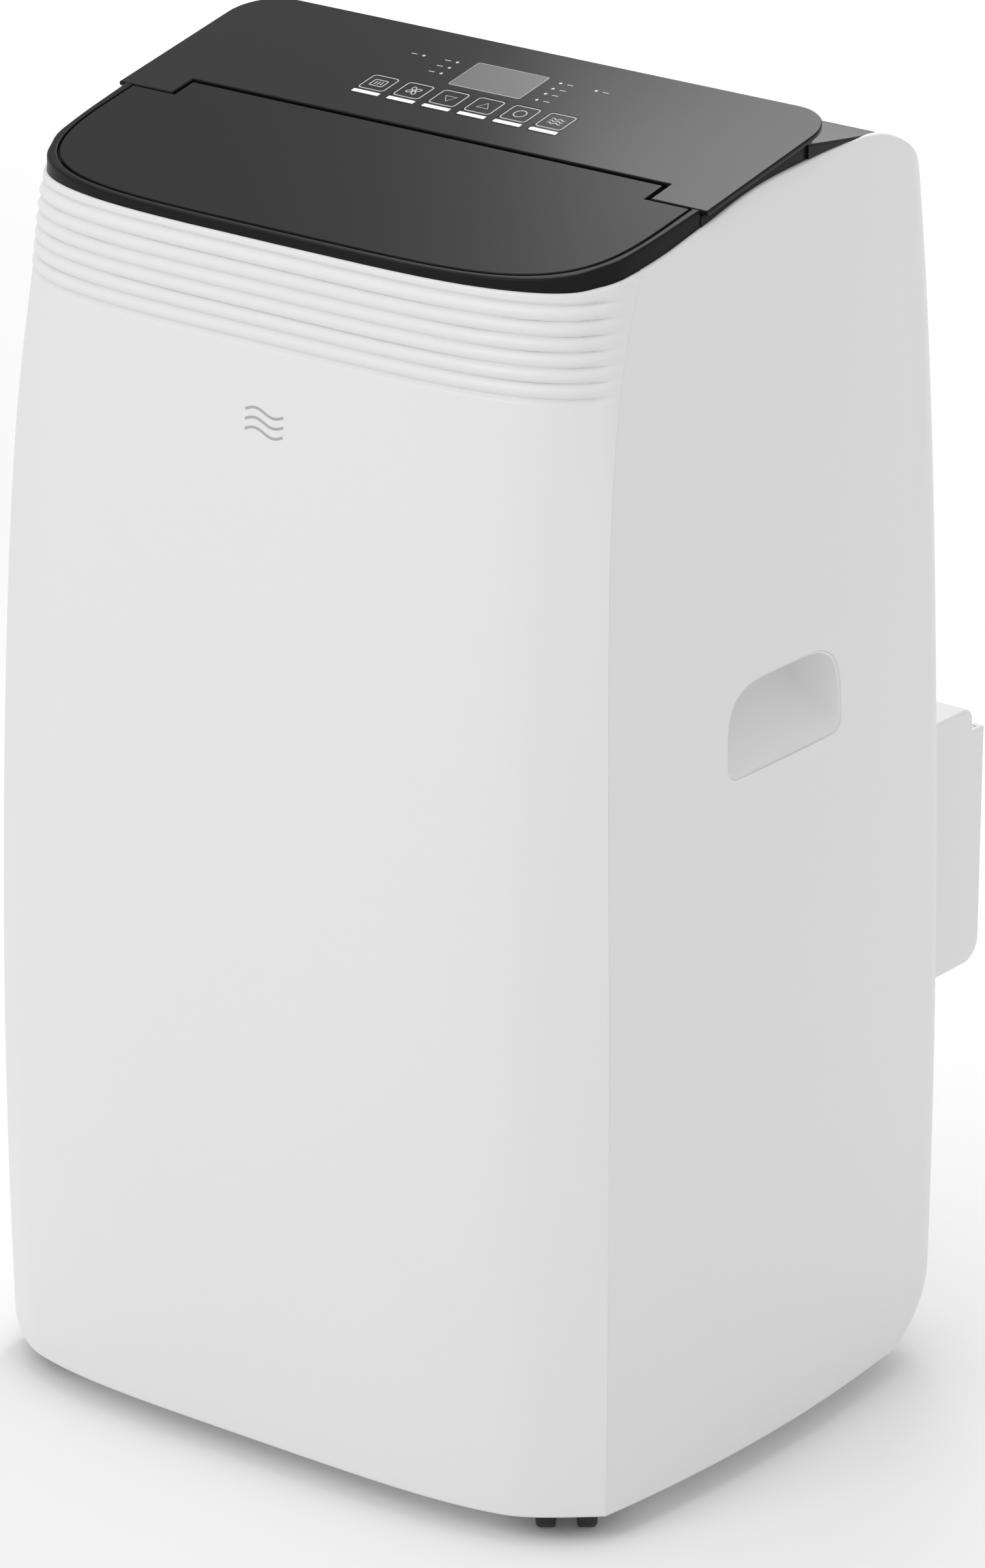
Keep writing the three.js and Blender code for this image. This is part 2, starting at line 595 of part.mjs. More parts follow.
for (const [tag, x, y] of casterSpots) {
  const place = (solid) => solid.rotate([0, 0, CASTER_TURN]).translate(x, y, 0);
  add(`caster_fork_${tag}`, place(casterFork()), MAT.caster_black);
  add(`caster_wheels_${tag}`, place(casterWheels()), MAT.caster_black);
}

// ---------------------------------------------------------------- cooling works
function coil(w, z0, z1, x) {
  let c = box(-x, x, 208, 238, z0, z1);
  for (let i = 0; i < 9; i++) {
    const fx = -x + 14 + ((2 * x - 28) * i) / 8;
    c = c.subtract(box(fx - 3, fx + 3, 230, 240, z0 + 6, z1 - 6));
  }
  for (let i = 0; i < w; i++) {
    const z = z0 + 14 + ((z1 - z0 - 28) * i) / (w - 1);
    c = c.add(rod("x", x - 1, x + 10, [218, z], 4, 4, 8)).add(rod("x", -x - 10, -x + 1, [218, z], 4, 4, 8));
  }
  return c;
}
add("evaporator_coil", coil(6, 424, 646, 140), MAT.coil_aluminium);
add("condenser_coil", coil(4, 82, 200, 140), MAT.coil_aluminium);

const BLADE_LEAN = 25;

// A forward-curved drum fan: back plate and hub, a ring of leaning blades and a front ring.
function drum(x, z, y0, y1, r, n) {
  const plateBack = rod("y", y0, y0 + 3, [x, z], r, r, 24);
  const hub = rod("y", y0, y0 + 26, [x, z], 14, 11, 12);
  const ring = rod("y", y1 - 4, y1, [x, z], r, r, 24).subtract(
    rod("y", y1 - 6, y1 + 2, [x, z], r - 14, r - 14, 24));
  let fan = union(plateBack, hub, ring);
  for (let i = 0; i < n; i++) {
    const blade = box(-1, 1, y0 + 1, y1 - 1, -6, 6).rotate([0, BLADE_LEAN, 0]).translate(0, 0, r - 7);
    fan = fan.add(blade.rotate([0, (360 * i) / n, 0]).translate(x, 0, z));
  }
  return fan.subtract(rod("y", y0 - 2, y0 + 20, [x, z], 4.4, 4.4, 10));
}
add("evaporator_fan", drum(0, 520, 104, 180, 92, 12), MAT.duct_black);
add("condenser_fan", drum(-44, 286, 136, 186, 62, 10), MAT.duct_black);

const upperScroll = cut(
  union(rod("y", 92, 196, [0, 520], 112, 112, 28), box(-112, 112, 92, 196, 520, 640),
    prism("x", -112, 112, [
      [92, 600], [196, 600], [196, 640], [24, 646.4], [-74, 646.4], [-74, 634], [92, 560]])),
  rod("y", 95, 193, [0, 520], 109, 109, 28), box(-109, 109, 95, 193, 520, 637),
  prism("x", -109, 109, [
    [94, 603], [150, 603], [150, 637], [21, 650], [-71, 650], [-71, 637], [94, 566]]),
  rod("y", 190, 200, [0, 520], 76, 76, 24), rod("y", 90, 100, [0, 520], 12, 12, 20),
);
add("evaporator_scroll", upperScroll, MAT.foam_grey);
const lowerScroll = cut(
  union(rod("y", 126, 200, [-44, 286], 78, 78, 24), box(-44, 178, 126, 246, 212, 362)
    .subtract(box(-130, 20, 200, 260, 180, 380))),
  rod("y", 129, 197, [-44, 286], 75, 75, 24),
  box(-44, 175, 129, 197, 215, 359), box(24, 175, 190, 250, 215, 359),
  rod("y", 194, 204, [-44, 286], 50, 50, 20), rod("y", 120, 132, [-44, 286], 12, 12, 20),
);
add("condenser_scroll", lowerScroll, MAT.foam_grey);

function motor(x, z, face, shaftTo, r, length) {
  return union(
    rod("y", face - length, face, [x, z], r, r, 20),
    rod("y", face - 1, shaftTo, [x, z], 3.6, 3.6, 10),
    rod("y", face - length - 5, face - length + 1, [x, z], r * 0.5, r * 0.5, 14),
  );
}
add("evaporator_motor", motor(0, 520, 91.4, 122, 38, 46), MAT.steel);
add("condenser_motor", motor(-44, 286, 125.4, 154, 32, 40), MAT.steel);

const deck = loft([DECK_Z, DECK_Z + 4].map((z) => plan(z, WALL + 1)));
const lip = box(-168, 168, 196, 206, DECK_Z + 3, DECK_Z + 22);
add("mid_deck", deck.add(lip).subtract(rod("z", 370, 384, [-120, 30], 16, 16, 20)), MAT.foam_grey);

const dome = (z, r0, r1) => rod("z", z, z + 12, [-104, 32], r0, r1, 24);
const compressor = union(rod("z", 44, 210, [-104, 32], 56, 56, 24), dome(209.9, 56, 40), dome(32.1, 44, 56),
  rod("z", 220, 232, [-104, 32], 9, 9, 12), rod("z", 24, 34, [-104, 32], 50, 50, 16));
add("compressor", compressor, MAT.compressor_black);
add("accumulator", union(rod("z", 60, 170, [-20, 20], 21, 21, 16), rod("z", 169, 180, [-20, 20], 21, 10, 16),
  rod("z", 178, 300, [-20, 20], 5, 5, 8), rod("z", 48, 61, [-20, 20], 8, 21, 16)), MAT.compressor_black);

let slinger = rod("y", 176, 180, [70, 56], 26, 26, 24);
for (let i = 0; i < 8; i++) {
  const paddle = box(-2, 2, 172, 184, 14, 29).rotate([0, 45 * i, 0]).translate(70, 0, 56);
  slinger = slinger.add(paddle);
}
add("slinger_wheel", slinger.subtract(rod("y", 170, 190, [70, 56], 3.2, 3.2, 12)), MAT.duct_black);
const slingerMotor = union(
  rod("y", 128, 158, [70, 56], 20, 20, 24),
  rod("y", 157, 182, [70, 56], 2.6, 2.6, 12),
  box(52, 88, 132, 150, 24, 42),
);
add("slinger_motor", slingerMotor, MAT.steel);

const eBox = box(70, 178, -40, 80, 70, 190).subtract(box(73, 175, -37, 77, 73, 187))
  .subtract(box(90, 160, -50, -30, 90, 170));
add("electrical_box", eBox, MAT.foam_grey);

function plug({ x, z }) {
  const face = backWall(z) + 0.5;
  return union(
    rod("y", 246, face + 1, [x, z], 8.6, 8.9, 20),
    rod("y", face, face + 4, [x, z], 12, 12, 20),
  );
}
add("upper_drain_plug", plug(UPPER_DRAIN), MAT.rubber);
add("lower_drain_plug", plug(LOWER_DRAIN), MAT.rubber);
const gland = union(
  rod("y", 250, 264, [-110, 290], 11, 11, 20),
  rod("y", 262, 268, [-110, 290], 15, 13, 20),
);
add("cord_gland", gland.subtract(rod("y", 240, 275, [-110, 290], 4, 4, 16)), MAT.rubber);

export default (() => {
  const group = new THREE.Group();
  group.name = "portable_air_conditioner";
  group.add(...parts);
  return group;
})();
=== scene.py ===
"""Portable air conditioner: detailed skins, trim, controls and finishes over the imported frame.

Outlines are written in millimetres about the casing's widest front section, as the part
itself is, and point() turns them into metres in the frame's own axes.
"""
import math
from functools import lru_cache

import bmesh
import bpy
from mathutils import Matrix, Vector


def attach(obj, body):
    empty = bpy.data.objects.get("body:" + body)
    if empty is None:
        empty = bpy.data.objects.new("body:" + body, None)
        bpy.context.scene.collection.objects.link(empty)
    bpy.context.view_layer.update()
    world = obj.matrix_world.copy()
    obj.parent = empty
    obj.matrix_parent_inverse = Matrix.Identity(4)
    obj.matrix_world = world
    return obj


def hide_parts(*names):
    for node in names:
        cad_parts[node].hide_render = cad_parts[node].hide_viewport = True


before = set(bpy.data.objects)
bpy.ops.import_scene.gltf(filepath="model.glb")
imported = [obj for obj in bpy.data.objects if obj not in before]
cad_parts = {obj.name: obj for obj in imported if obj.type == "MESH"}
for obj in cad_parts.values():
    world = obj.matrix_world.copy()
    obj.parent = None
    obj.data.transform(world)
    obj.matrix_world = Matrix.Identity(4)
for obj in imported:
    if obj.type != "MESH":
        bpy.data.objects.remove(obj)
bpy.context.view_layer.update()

# ---------------------------------------------------------------- driving dimensions (mm)
ORIGIN_Y = -103.25
WALL = 2.6
BODY_BOTTOM = 16
REAR_CORNER_R = 38
SIDE_BOW = 0.0005
SIDE_BOW_Y = 72
SEAM = 0.10
TUCK_DEPTH = 56
TUCK_HEIGHT = 38
TUCK_SIDE = 120
TUCK_BACK = 60

PLANE_Y = 38.5
PLANE_Z = 739.7
TILT = math.atan(0.2047)
COVER_HALF_W = 200.5
PANEL_BACK_U = 106
PANEL_R = 28
EAR_X = 163
EAR_U = -18.8
SHELF_Z = 744
SHELF_FALL = 0.16
SHELF_BACK = 195
FLAP_HALF_W = 189.5
HINGE_Y = 32
HINGE_R = 4.5
HINGE_Z = PLANE_Z + math.tan(TILT) * (HINGE_Y - PLANE_Y) - 5

RIB_TOP = 702
RIB_PITCH = 8.2
RIB_COUNT = 7
RIB_DEPTH = 2.0
RIB_SWELL = 1.1

KEY_PITCH = 24.25
KEY_W = 19
KEY_U0 = 22
KEY_U1 = 46
DISPLAY = (-25, 24.5, 51.2, 80.6)

GRIP = {"y0": 21.5, "y1": 127.7, "z0": 419, "top": 472}
GRIP_DEPTH = 29
EXHAUST = {"x0": 20, "x1": 180, "y0": 252.6, "y1": 316, "y2": 328, "z0": 210, "z1": 368, "step": 353}
BORE = {"x": 100, "z": 287, "r": 58}
UPPER = (150, 430, 640)
LOWER = (150, 52, 196)
CASTERS = {"fr": (176.2, -60.5), "fl": (-176.2, -60.5), "rr": (138, 178), "rl": (-138, 178)}
CASTER_TURN = 38.17
WHEEL_R = 13.5
TRAIL = 8
VANES = 5
VANE_PITCH = 62
VANE_Z = 682
LINK_Z = 660
THROAT = (-170, 170, -71, 21)
THROAT_R = 12
GRIP_FIT = 0.05
UPPER_DRAIN = (-150, 392)
LOWER_DRAIN = (-108, 34)
DRAIN_R = 9.2
GLAND = (-110, 290)
GLAND_R = 11.2
KEYS = ("timer", "fan_speed", "down", "up", "mode", "power")
STROKE = 0.75

CAMERA_AZIMUTH = 38.1728
CAMERA_ELEVATION = 20.9382
CAMERA_DISTANCE = 4.2957
CAMERA_TARGET_Z = 0.3825
CAMERA_LENS = 178.58
CAMERA_PAN = -0.810577
CAMERA_TIP = -0.112721


def point(x, y, z):
    """Millimetres about the casing's widest front section, as metres in the frame."""
    return (x * 0.001, (y + ORIGIN_Y) * 0.001, z * 0.001)


# ---------------------------------------------------------------- materials
def new_material(name):
    mat = bpy.data.materials.new(name)
    mat.use_nodes = True
    nodes = mat.node_tree.nodes
    return mat, nodes, mat.node_tree.links, nodes["Principled BSDF"]


def put(nodes, kind, **values):
    """Adds a shader node and sets its named inputs."""
    node = nodes.new("ShaderNode" + kind)
    for name, value in values.items():
        node.inputs[name.replace("_", " ")].default_value = value
    return node


def blend(nodes, links, factor, low, high, target):
    """Colour that runs between two tones."""
    mix = nodes.new("ShaderNodeMix")
    mix.data_type = "RGBA"
    mix.inputs["A"].default_value = (*low, 1)
    mix.inputs["B"].default_value = (*high, 1)
    links.new(factor, mix.inputs["Factor"])
    links.new(mix.outputs["Result"], target)


def spread(nodes, links, value, low, high, target):
    """Number that runs between two limits."""
    span = put(nodes, "MapRange", To_Min=low, To_Max=high)
    links.new(value, span.inputs["Value"])
    links.new(span.outputs["Result"], target)


def relief(nodes, links, height, strength, depth, shader):
    bump = put(nodes, "Bump", Strength=strength, Distance=depth)
    links.new(height, bump.inputs["Height"])
    links.new(bump.outputs["Normal"], shader.inputs["Normal"])


def moulded(name, color, roughness, grain=1400.0, depth=0.00003, tint=0.03, shine=0.5):
    """Moulded plastic: fine mould texture, faint cloudiness and small changes in gloss."""
    mat, nodes, links, shader = new_material(name)
    place = put(nodes, "TexCoord").outputs["Object"]
    cloud = put(nodes, "TexNoise", Scale=9.0, Detail=3.0)
    links.new(place, cloud.inputs["Vector"])
    low = [c * (1 - tint) for c in color]
    high = [min(1, c * (1 + tint)) for c in color]
    blend(nodes, links, cloud.outputs["Fac"], low, high, shader.inputs["Base Color"])
    spread(nodes, links, cloud.outputs["Fac"], roughness * 0.88, roughness * 1.12, shader.inputs["Roughness"])
    fine = put(nodes, "TexNoise", Scale=grain, Detail=4.0)
    links.new(place, fine.inputs["Vector"])
    relief(nodes, links, fine.outputs["Fac"], 0.5, depth, shader)
    shader.inputs["Specular IOR Level"].default_value = shine
    return mat


def metal(name, color, roughness, stretch):
    """Bare or plated metal with grain drawn out along one axis."""
    mat, nodes, links, shader = new_material(name)
    mapping = put(nodes, "Mapping", Scale=stretch)
    links.new(put(nodes, "TexCoord").outputs["Object"], mapping.inputs["Vector"])
    grain = put(nodes, "TexNoise", Scale=300.0, Detail=5.0)
    links.new(mapping.outputs["Vector"], grain.inputs["Vector"])
    spread(nodes, links, grain.outputs["Fac"], roughness * 0.7, roughness * 1.4, shader.inputs["Roughness"])
    low = [c * 0.85 for c in color]
    blend(nodes, links, grain.outputs["Fac"], low, color, shader.inputs["Base Color"])
    relief(nodes, links, grain.outputs["Fac"], 0.3, 0.00005, shader)
    shader.inputs["Metallic"].default_value = 1.0
    return mat


def lined(name, color, gap_shade, scale, axis, roughness, metallic=0.0, cross=False):
    """Close parallel lines, as coil fins; or crossed lines, as a woven filter. The dark tone between the
    lines is painted shade in the gaps.
    """
    mat, nodes, links, shader = new_material(name)
    place = put(nodes, "TexCoord").outputs["Object"]
    heights = []
    for direction in ([axis, "Z"] if cross else [axis]):
        wave = put(nodes, "TexWave", Scale=scale)
        wave.wave_type = "BANDS"
        wave.bands_direction = direction
        links.new(place, wave.inputs["Vector"])
        heights.append(wave.outputs["Fac"])
    height = heights[0]
    if cross:
        top = put(nodes, "Math")
        top.operation = "MAXIMUM"
        for n in (0, 1):
            links.new(heights[n], top.inputs[n])
        height = top.outputs["Value"]
    # painted shade: the gaps between the coil fins and between the filter threads are coloured near black,
    # for the shade that falls into them
    blend(nodes, links, height, gap_shade, color, shader.inputs["Base Color"])
    relief(nodes, links, height, 0.8, 0.0004, shader)
    shader.inputs["Roughness"].default_value = roughness
    shader.inputs["Metallic"].default_value = metallic
    return mat


INK = (0.0075, 0.0075, 0.0078)
MAT = {
    "casing_white": moulded("casing_white", (0.80, 0.80, 0.803), 0.38, tint=0.006, shine=0.35),
    "trim_black": moulded("trim_black", (0.0105, 0.0105, 0.0108), 0.36, tint=0.05, shine=0.10),
    "panel_gloss": moulded("panel_gloss", INK, 0.24, depth=0.00001, tint=0.02, shine=0.14),
    "key_gloss": moulded("key_gloss", INK, 0.24, depth=0.00001, tint=0.02, shine=0.14),
    "display_grey": moulded(
        "display_grey", (0.125, 0.125, 0.128), 0.28, depth=0.00001, tint=0.02, shine=0.3
    ),
    "duct_black": moulded("duct_black", (0.018, 0.018, 0.019), 0.6, tint=0.1),
    "caster_black": moulded("caster_black", (0.012, 0.012, 0.013), 0.45, tint=0.15),
    # filter_mesh: the second colour is painted shade in the gaps of the weave
    "filter_mesh": lined(
        "filter_mesh", (0.16, 0.17, 0.18), (0.012, 0.012, 0.013), 220.0, "X", 0.8, cross=True
    ),
    "foam_grey": moulded("foam_grey", (0.48, 0.49, 0.50), 0.9, grain=260.0, depth=0.0004, tint=0.08),
    "steel": metal("steel", (0.62, 0.62, 0.63), 0.32, (1, 1, 12)),
    "compressor_black": moulded(
        "compressor_black", (0.014, 0.014, 0.016), 0.3, grain=420.0, depth=0.0001, tint=0.2
    ),
    # coil_aluminium: the second colour is painted shade between the fins
    "coil_aluminium": lined("coil_aluminium", (0.72, 0.73, 0.75), (0.12, 0.12, 0.13), 260.0, "X", 0.35, 0.9),
    "board_green": moulded("board_green", (0.02, 0.11, 0.05), 0.35, grain=500.0, depth=0.0001, tint=0.25),
    "rubber": moulded("rubber", (0.022, 0.022, 0.022), 0.75, grain=900.0, depth=0.00008, tint=0.15),
}
PRINT = moulded("print_white", (0.85, 0.85, 0.86), 0.5, tint=0.01)
PRINT_GREY = moulded("print_grey", (0.46, 0.46, 0.47), 0.5, tint=0.01)
MARK_GREY = moulded("mark_grey", (0.42, 0.42, 0.43), 0.35, tint=0.01)
LAMP = moulded("lamp_lens", (0.55, 0.55, 0.56), 0.3, tint=0.01)


# ---------------------------------------------------------------- mesh helpers
def finish_mesh(obj, angle):
    obj.data.shade_smooth()
    obj.data.set_sharp_from_angle(angle=math.radians(angle))


def make(name, verts, faces, angle=32):
    """A closed mesh from millimetre points, with its faces turned outward."""
    mesh = bpy.data.meshes.new(name)
    mesh.from_pydata([point(*v) for v in verts], [], faces)
    bm = bmesh.new()
    bm.from_mesh(mesh)
    bmesh.ops.remove_doubles(bm, verts=bm.verts, dist=1e-7)
    bmesh.ops.recalc_face_normals(bm, faces=bm.faces)
    bm.to_mesh(mesh)
    bm.free()
    obj = bpy.data.objects.new(name, mesh)
    bpy.context.scene.collection.objects.link(obj)
    finish_mesh(obj, angle)
    return obj


def loft(name, loops, angle=32, ring=False):
    """A skin through closed loops of equal length, capped at its ends or joined into a ring."""
    n = len(loops[0])
    verts = [v for loop in loops for v in loop]
    faces = []
    count = len(loops)
    for k in range(count if ring else count - 1):
        a = k * n
        b = ((k + 1) % count) * n
        for i in range(n):
            j = (i + 1) % n
            faces.append((a + i, a + j, b + j, b + i))
    if not ring:
        faces.append(tuple(range(n - 1, -1, -1)))
        faces.append(tuple(range((count - 1) * n, count * n)))
    return make(name, verts, faces, angle)


def box(name, x0, x1, y0, y1, z0, z1):
    low = [(x0, y0, z0), (x1, y0, z0), (x1, y1, z0), (x0, y1, z0)]
    high = [(x, y, z1) for x, y, _ in low]
    return loft(name, [low, high])


def circle(r, n, cx=0.0, cy=0.0):
    turns = [2 * math.pi * i / n for i in range(n)]
    return [(cx + r * math.cos(t), cy + r * math.sin(t)) for t in turns]


def along(axis, a, b, t):
    """Puts a flat point (a, b) at place t along an axis."""
    return {"x": (t, a, b), "y": (a, t, b), "z": (a, b, t)}[axis]


def facing_x(a, b, w):
    """Places an outline in the side view, with its thickness along x."""
    return (w, a, b)


def facing_y(a, b, w):
    """Places an outline in the front view, with its thickness along y."""
    return (a, w, b)


def turned(name, axis, at, profile, n=48):
    """A body of revolution: profile is (place along axis, radius), at is its centre."""
    loops = [[along(axis, at[0] + a, at[1] + b, t) for a, b in circle(max(r, 0.02), n)] for t, r in profile]
    return loft(name, loops)


def upright(name, outline, z0, z1):
    """A prism that stands on a plan outline."""
    return loft(name, [[(x, y, z) for x, y in outline] for z in (z0, z1)])


def through_back(name, outline, y0, y1):
    """A prism along y from an outline seen from the front."""
    return loft(name, [[(x, y, z) for x, z in outline] for y in (y0, y1)])


def arc(cx, cy, r, a0, a1, n):
    out = []
    for i in range(n + 1):
        t = math.radians(a0 + (a1 - a0) * i / n)
        out.append((cx + r * math.cos(t), cy + r * math.sin(t)))
    return out


def rounded(x0, x1, y0, y1, r, n=6):
    return (
        arc(x1 - r, y1 - r, r, 0, 90, n)
        + arc(x0 + r, y1 - r, r, 90, 180, n)
        + arc(x0 + r, y0 + r, r, 180, 270, n)
        + arc(x1 - r, y0 + r, r, 270, 360, n)
    )


def inset(outline, d):
    """Moves a counter-clockwise outline inward by d."""
    n = len(outline)
    out = []
    for i, (x, y) in enumerate(outline):
        px, py = outline[i - 1]
        qx, qy = outline[(i + 1) % n]
        ax, ay = x - px, y - py
        bx, by = qx - x, qy - y
        la = math.hypot(ax, ay) or 1e-9
        lb = math.hypot(bx, by) or 1e-9
        nx, ny = -(ay / la + by / lb), ax / la + bx / lb
        ln = math.hypot(nx, ny) or 1e-9
        lean = max(0.45, ln / 2)
        out.append((x + nx / ln * d / lean, y + ny / ln * d / lean))
    return out


def plate(name, outline, w0, w1, fillet, place, steps=4, angle=32):
    """A flat piece with rounded top and bottom edges; place turns (a, b, w) into a point."""
    small = min(fillet, (w1 - w0) * 0.45)
    hold = 0.12
    loops = [(small + hold, w0)]
    for i in range(steps + 1):
        t = math.pi / 2 * i / steps
        loops.append((small * (1 - math.sin(t)), w0 + small * (1 - math.cos(t))))
    for i in range(steps + 1):
        t = math.pi / 2 * i / steps
        loops.append((fillet * (1 - math.cos(t)), w1 - fillet * (1 - math.sin(t))))
    loops.append((fillet + hold, w1))
    return loft(name, [[place(a, b, w) for a, b in inset(outline, d)] for d, w in loops], angle)


def on_slope(x, u, w):
    """Point at (x, u) on the sloping top plane, raised off it by w."""
    y = PLANE_Y + u * math.cos(TILT) - w * math.sin(TILT)
    z = PLANE_Z + u * math.sin(TILT) + w * math.cos(TILT)
    return (x, y, z)


def settle(obj):
    """Applies the piece's modifiers to its own mesh."""
    bpy.context.view_layer.update()
    ready = obj.evaluated_get(bpy.context.evaluated_depsgraph_get())
    mesh = bpy.data.meshes.new_from_object(ready)
    obj.modifiers.clear()
    obj.data = mesh


def boolean(obj, cutters, operation="DIFFERENCE", angle=32):
    for cutter in cutters:
        mod = obj.modifiers.new("cut", "BOOLEAN")
        mod.operation = operation
        mod.solver = "EXACT"
        mod.object = cutter
    settle(obj)
    for cutter in cutters:
        bpy.data.objects.remove(cutter)
    finish_mesh(obj, angle)
    return obj


def soften(obj, width):
    """Rounds the edges that turn by more than 30 degrees."""
    finish_mesh(obj, 30)
    mod = obj.modifiers.new("soften", "BEVEL")
    mod.harden_normals = True
    mod.width = width * 0.001
    mod.segments = 2
    mod.limit_method = "ANGLE"
    mod.angle_limit = math.radians(30)
    settle(obj)


def join(name, objs):
    bm = bmesh.new()
    for obj in objs:
        bm.from_mesh(obj.data)
        bpy.data.objects.remove(obj)
    mesh = bpy.data.meshes.new(name)
    bm.to_mesh(mesh)
    bm.free()
    out = bpy.data.objects.new(name, mesh)
    bpy.context.scene.collection.objects.link(out)
    return out


def dress(obj, body, slot, *nodes, material=None):
    """Gives a piece its finish and its body, and hides the CAD nodes that it stands for."""
    obj.data.materials.clear()
    obj.data.materials.append(material or MAT[slot])
    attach(obj, body)
    if nodes:
        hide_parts(*nodes)


def refined(node, width, body, slot):
    """The CAD solid's own form with its edges rounded."""
    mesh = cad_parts[node].data.copy()
    obj = bpy.data.objects.new(node + "_form", mesh)
    bpy.context.scene.collection.objects.link(obj)
    bm = bmesh.new()
    bm.from_mesh(mesh)
    bmesh.ops.remove_doubles(bm, verts=bm.verts, dist=1e-6)
    bmesh.ops.dissolve_limit(bm, angle_limit=math.radians(1), verts=bm.verts, edges=bm.edges)
    bm.to_mesh(mesh)
    bm.free()
    soften(obj, width)
    dress(obj, body, slot, node)


# ---------------------------------------------------------------- casing surface
def front_bow(z):
    return 121.5 - 18.1 * (abs(z - 188) / 400) ** 1.49


def back_wall(z):
    return 263.4 - 0.0105 * z


def crease_x(z):
    return 214 - 17.6 * (abs(z - 170) / 534) ** 1.85


def crease_y(z):
    d = abs(z - 240) / 464
    return -75.2 + 12 * d * d + 28 * d**7


def smooth(t):
    c = min(1.0, max(0.0, t))
    return c * c * (3 - 2 * c)


@lru_cache(maxsize=4096)
def section(z):
    """Numbers of the plan outline at one height."""
    bow = front_bow(z)
    cx = crease_x(z)
    cy = crease_y(z)
    reach = cx / (1 - (abs(cy) / bow) ** 4) ** 0.25
    soft = 0.2 + 0.8 * smooth((z - 560) / 130)
    top = cx + SIDE_BOW * (cy - SIDE_BOW_Y) ** 2
    return bow, cx, cy, reach, soft, top


def front_raw(x, z):
    bow, cx, cy, reach, soft, _ = section(z)
    curve = -bow * (1 - (min(x, reach * 0.9999) / reach) ** 4) ** 0.25
    fx = cx - 36
    if x <= fx:
        return curve
    fy = -bow * (1 - (fx / reach) ** 4) ** 0.25
    chord = fy + (cy - fy) * (x - fx) / (cx - fx)
    return chord + (curve - chord) * soft


def front_y(x, z):
    """Front outline, with the turn into the corner facet blended over a few millimetres."""
    x = abs(x)
    reach = min(9.0, max(0.0, section(z)[1] - x))
    steps = (-1, -0.6, -0.2, 0.2, 0.6, 1)
    return sum(front_raw(abs(x + reach * s), z) for s in steps) / len(steps)


def side_x(y, z):
    return section(z)[5] - SIDE_BOW * (y - SIDE_BOW_Y) ** 2


EDGE = [
    (-200, 700), (-90, 708), (-62, 709.5), (-16, 717.4), (20, 726.4),
    (52, 734.6), (80, 738.8), (120, 740.6), (150, 740.6), (190, 738),
]


def edge_z(y):
    """Height of the white casing's upper edge, and of its roof behind the shelf."""
    if y >= 150:
        t = min(1.0, (y - 150) / 106.8)
        return 645 + 95.6 * max(0.0, 1 - t**2.6) ** (1 / 2.6)
    for k in range(len(EDGE) - 1):
        if y <= EDGE[k + 1][0]:
            break
    (x0, z0), (x1, z1) = EDGE[k], EDGE[k + 1]
    xa, za = EDGE[max(0, k - 1)]
    xb, zb = EDGE[min(len(EDGE) - 1, k + 2)]
    m0 = (z1 - za) / (x1 - xa)
    m1 = (zb - z0) / (xb - x0)
    h = x1 - x0
    t = (y - x0) / h
    return (
        (2 * t**3 - 3 * t**2 + 1) * z0
        + (t**3 - 2 * t**2 + t) * h * m0
        + (3 * t**2 - 2 * t**3) * z1
        + (t**3 - t**2) * h * m1
    )


def slope_z(y):
    return PLANE_Z + math.tan(TILT) * (y - PLANE_Y)


def front_at(s, z, off):
    """Front skin point: s runs from -1 at the left crease to 1 at the right one."""
    x = s * section(z)[1]
    h = 0.4
    y = front_y(x, z)
    if abs(x) + h < section(z)[1]:
        dy = (front_y(x + h, z) - front_y(x - h, z)) / (2 * h)
    else:
        inner = abs(x) - h
        dy = (y - front_y(inner, z)) / h * math.copysign(1, x)
    ln = math.hypot(1, dy)
    return (x - dy / ln * off, y + off / ln)


def tuck(z):
    """How far the rolled lower rear corners are pulled forward at one height."""
    t = 0.95 * max(0.0, 1 - (max(z, BODY_BOTTOM) - BODY_BOTTOM) / TUCK_HEIGHT)
    return TUCK_DEPTH * (1 - math.sqrt(1 - t * t))


def rear_at(kind, t, z, off):
    """Side, rear corner or back skin point on the right half."""
    back = back_wall(z)
    pull = tuck(z)
    ky = back - REAR_CORNER_R
    if kind == "side":
        cy = section(z)[2]
        y = cy + SEAM + (ky - cy - SEAM) * t
        y -= pull * smooth((y - ky + TUCK_SIDE) / TUCK_SIDE)
        slope = -2 * SIDE_BOW * (y - SIDE_BOW_Y)
        ln = math.hypot(1, slope)
        return (side_x(y, z) - off / ln, y + slope * off / ln)
    ky -= pull
    kx = side_x(ky, z) - REAR_CORNER_R
    if kind == "corner":
        lean = math.degrees(math.atan(2 * SIDE_BOW * (ky - SIDE_BOW_Y)))
        a = math.radians(lean + (90 - lean) * t)
        shift = REAR_CORNER_R * (1 / math.cos(math.radians(lean)) - 1) * (1 - t)
        r = REAR_CORNER_R - off
        return (kx + shift + r * math.cos(a), ky + r * math.sin(a))
    return (kx * (1 - t), back - off - pull * (1 - smooth(kx * t / TUCK_BACK)))


def edge_height(place):
    """Where a column of the skin meets the upper edge."""
    z = 730.0
    for _ in range(12):
        z = 0.5 * z + 0.5 * edge_z(place(z))
    return z


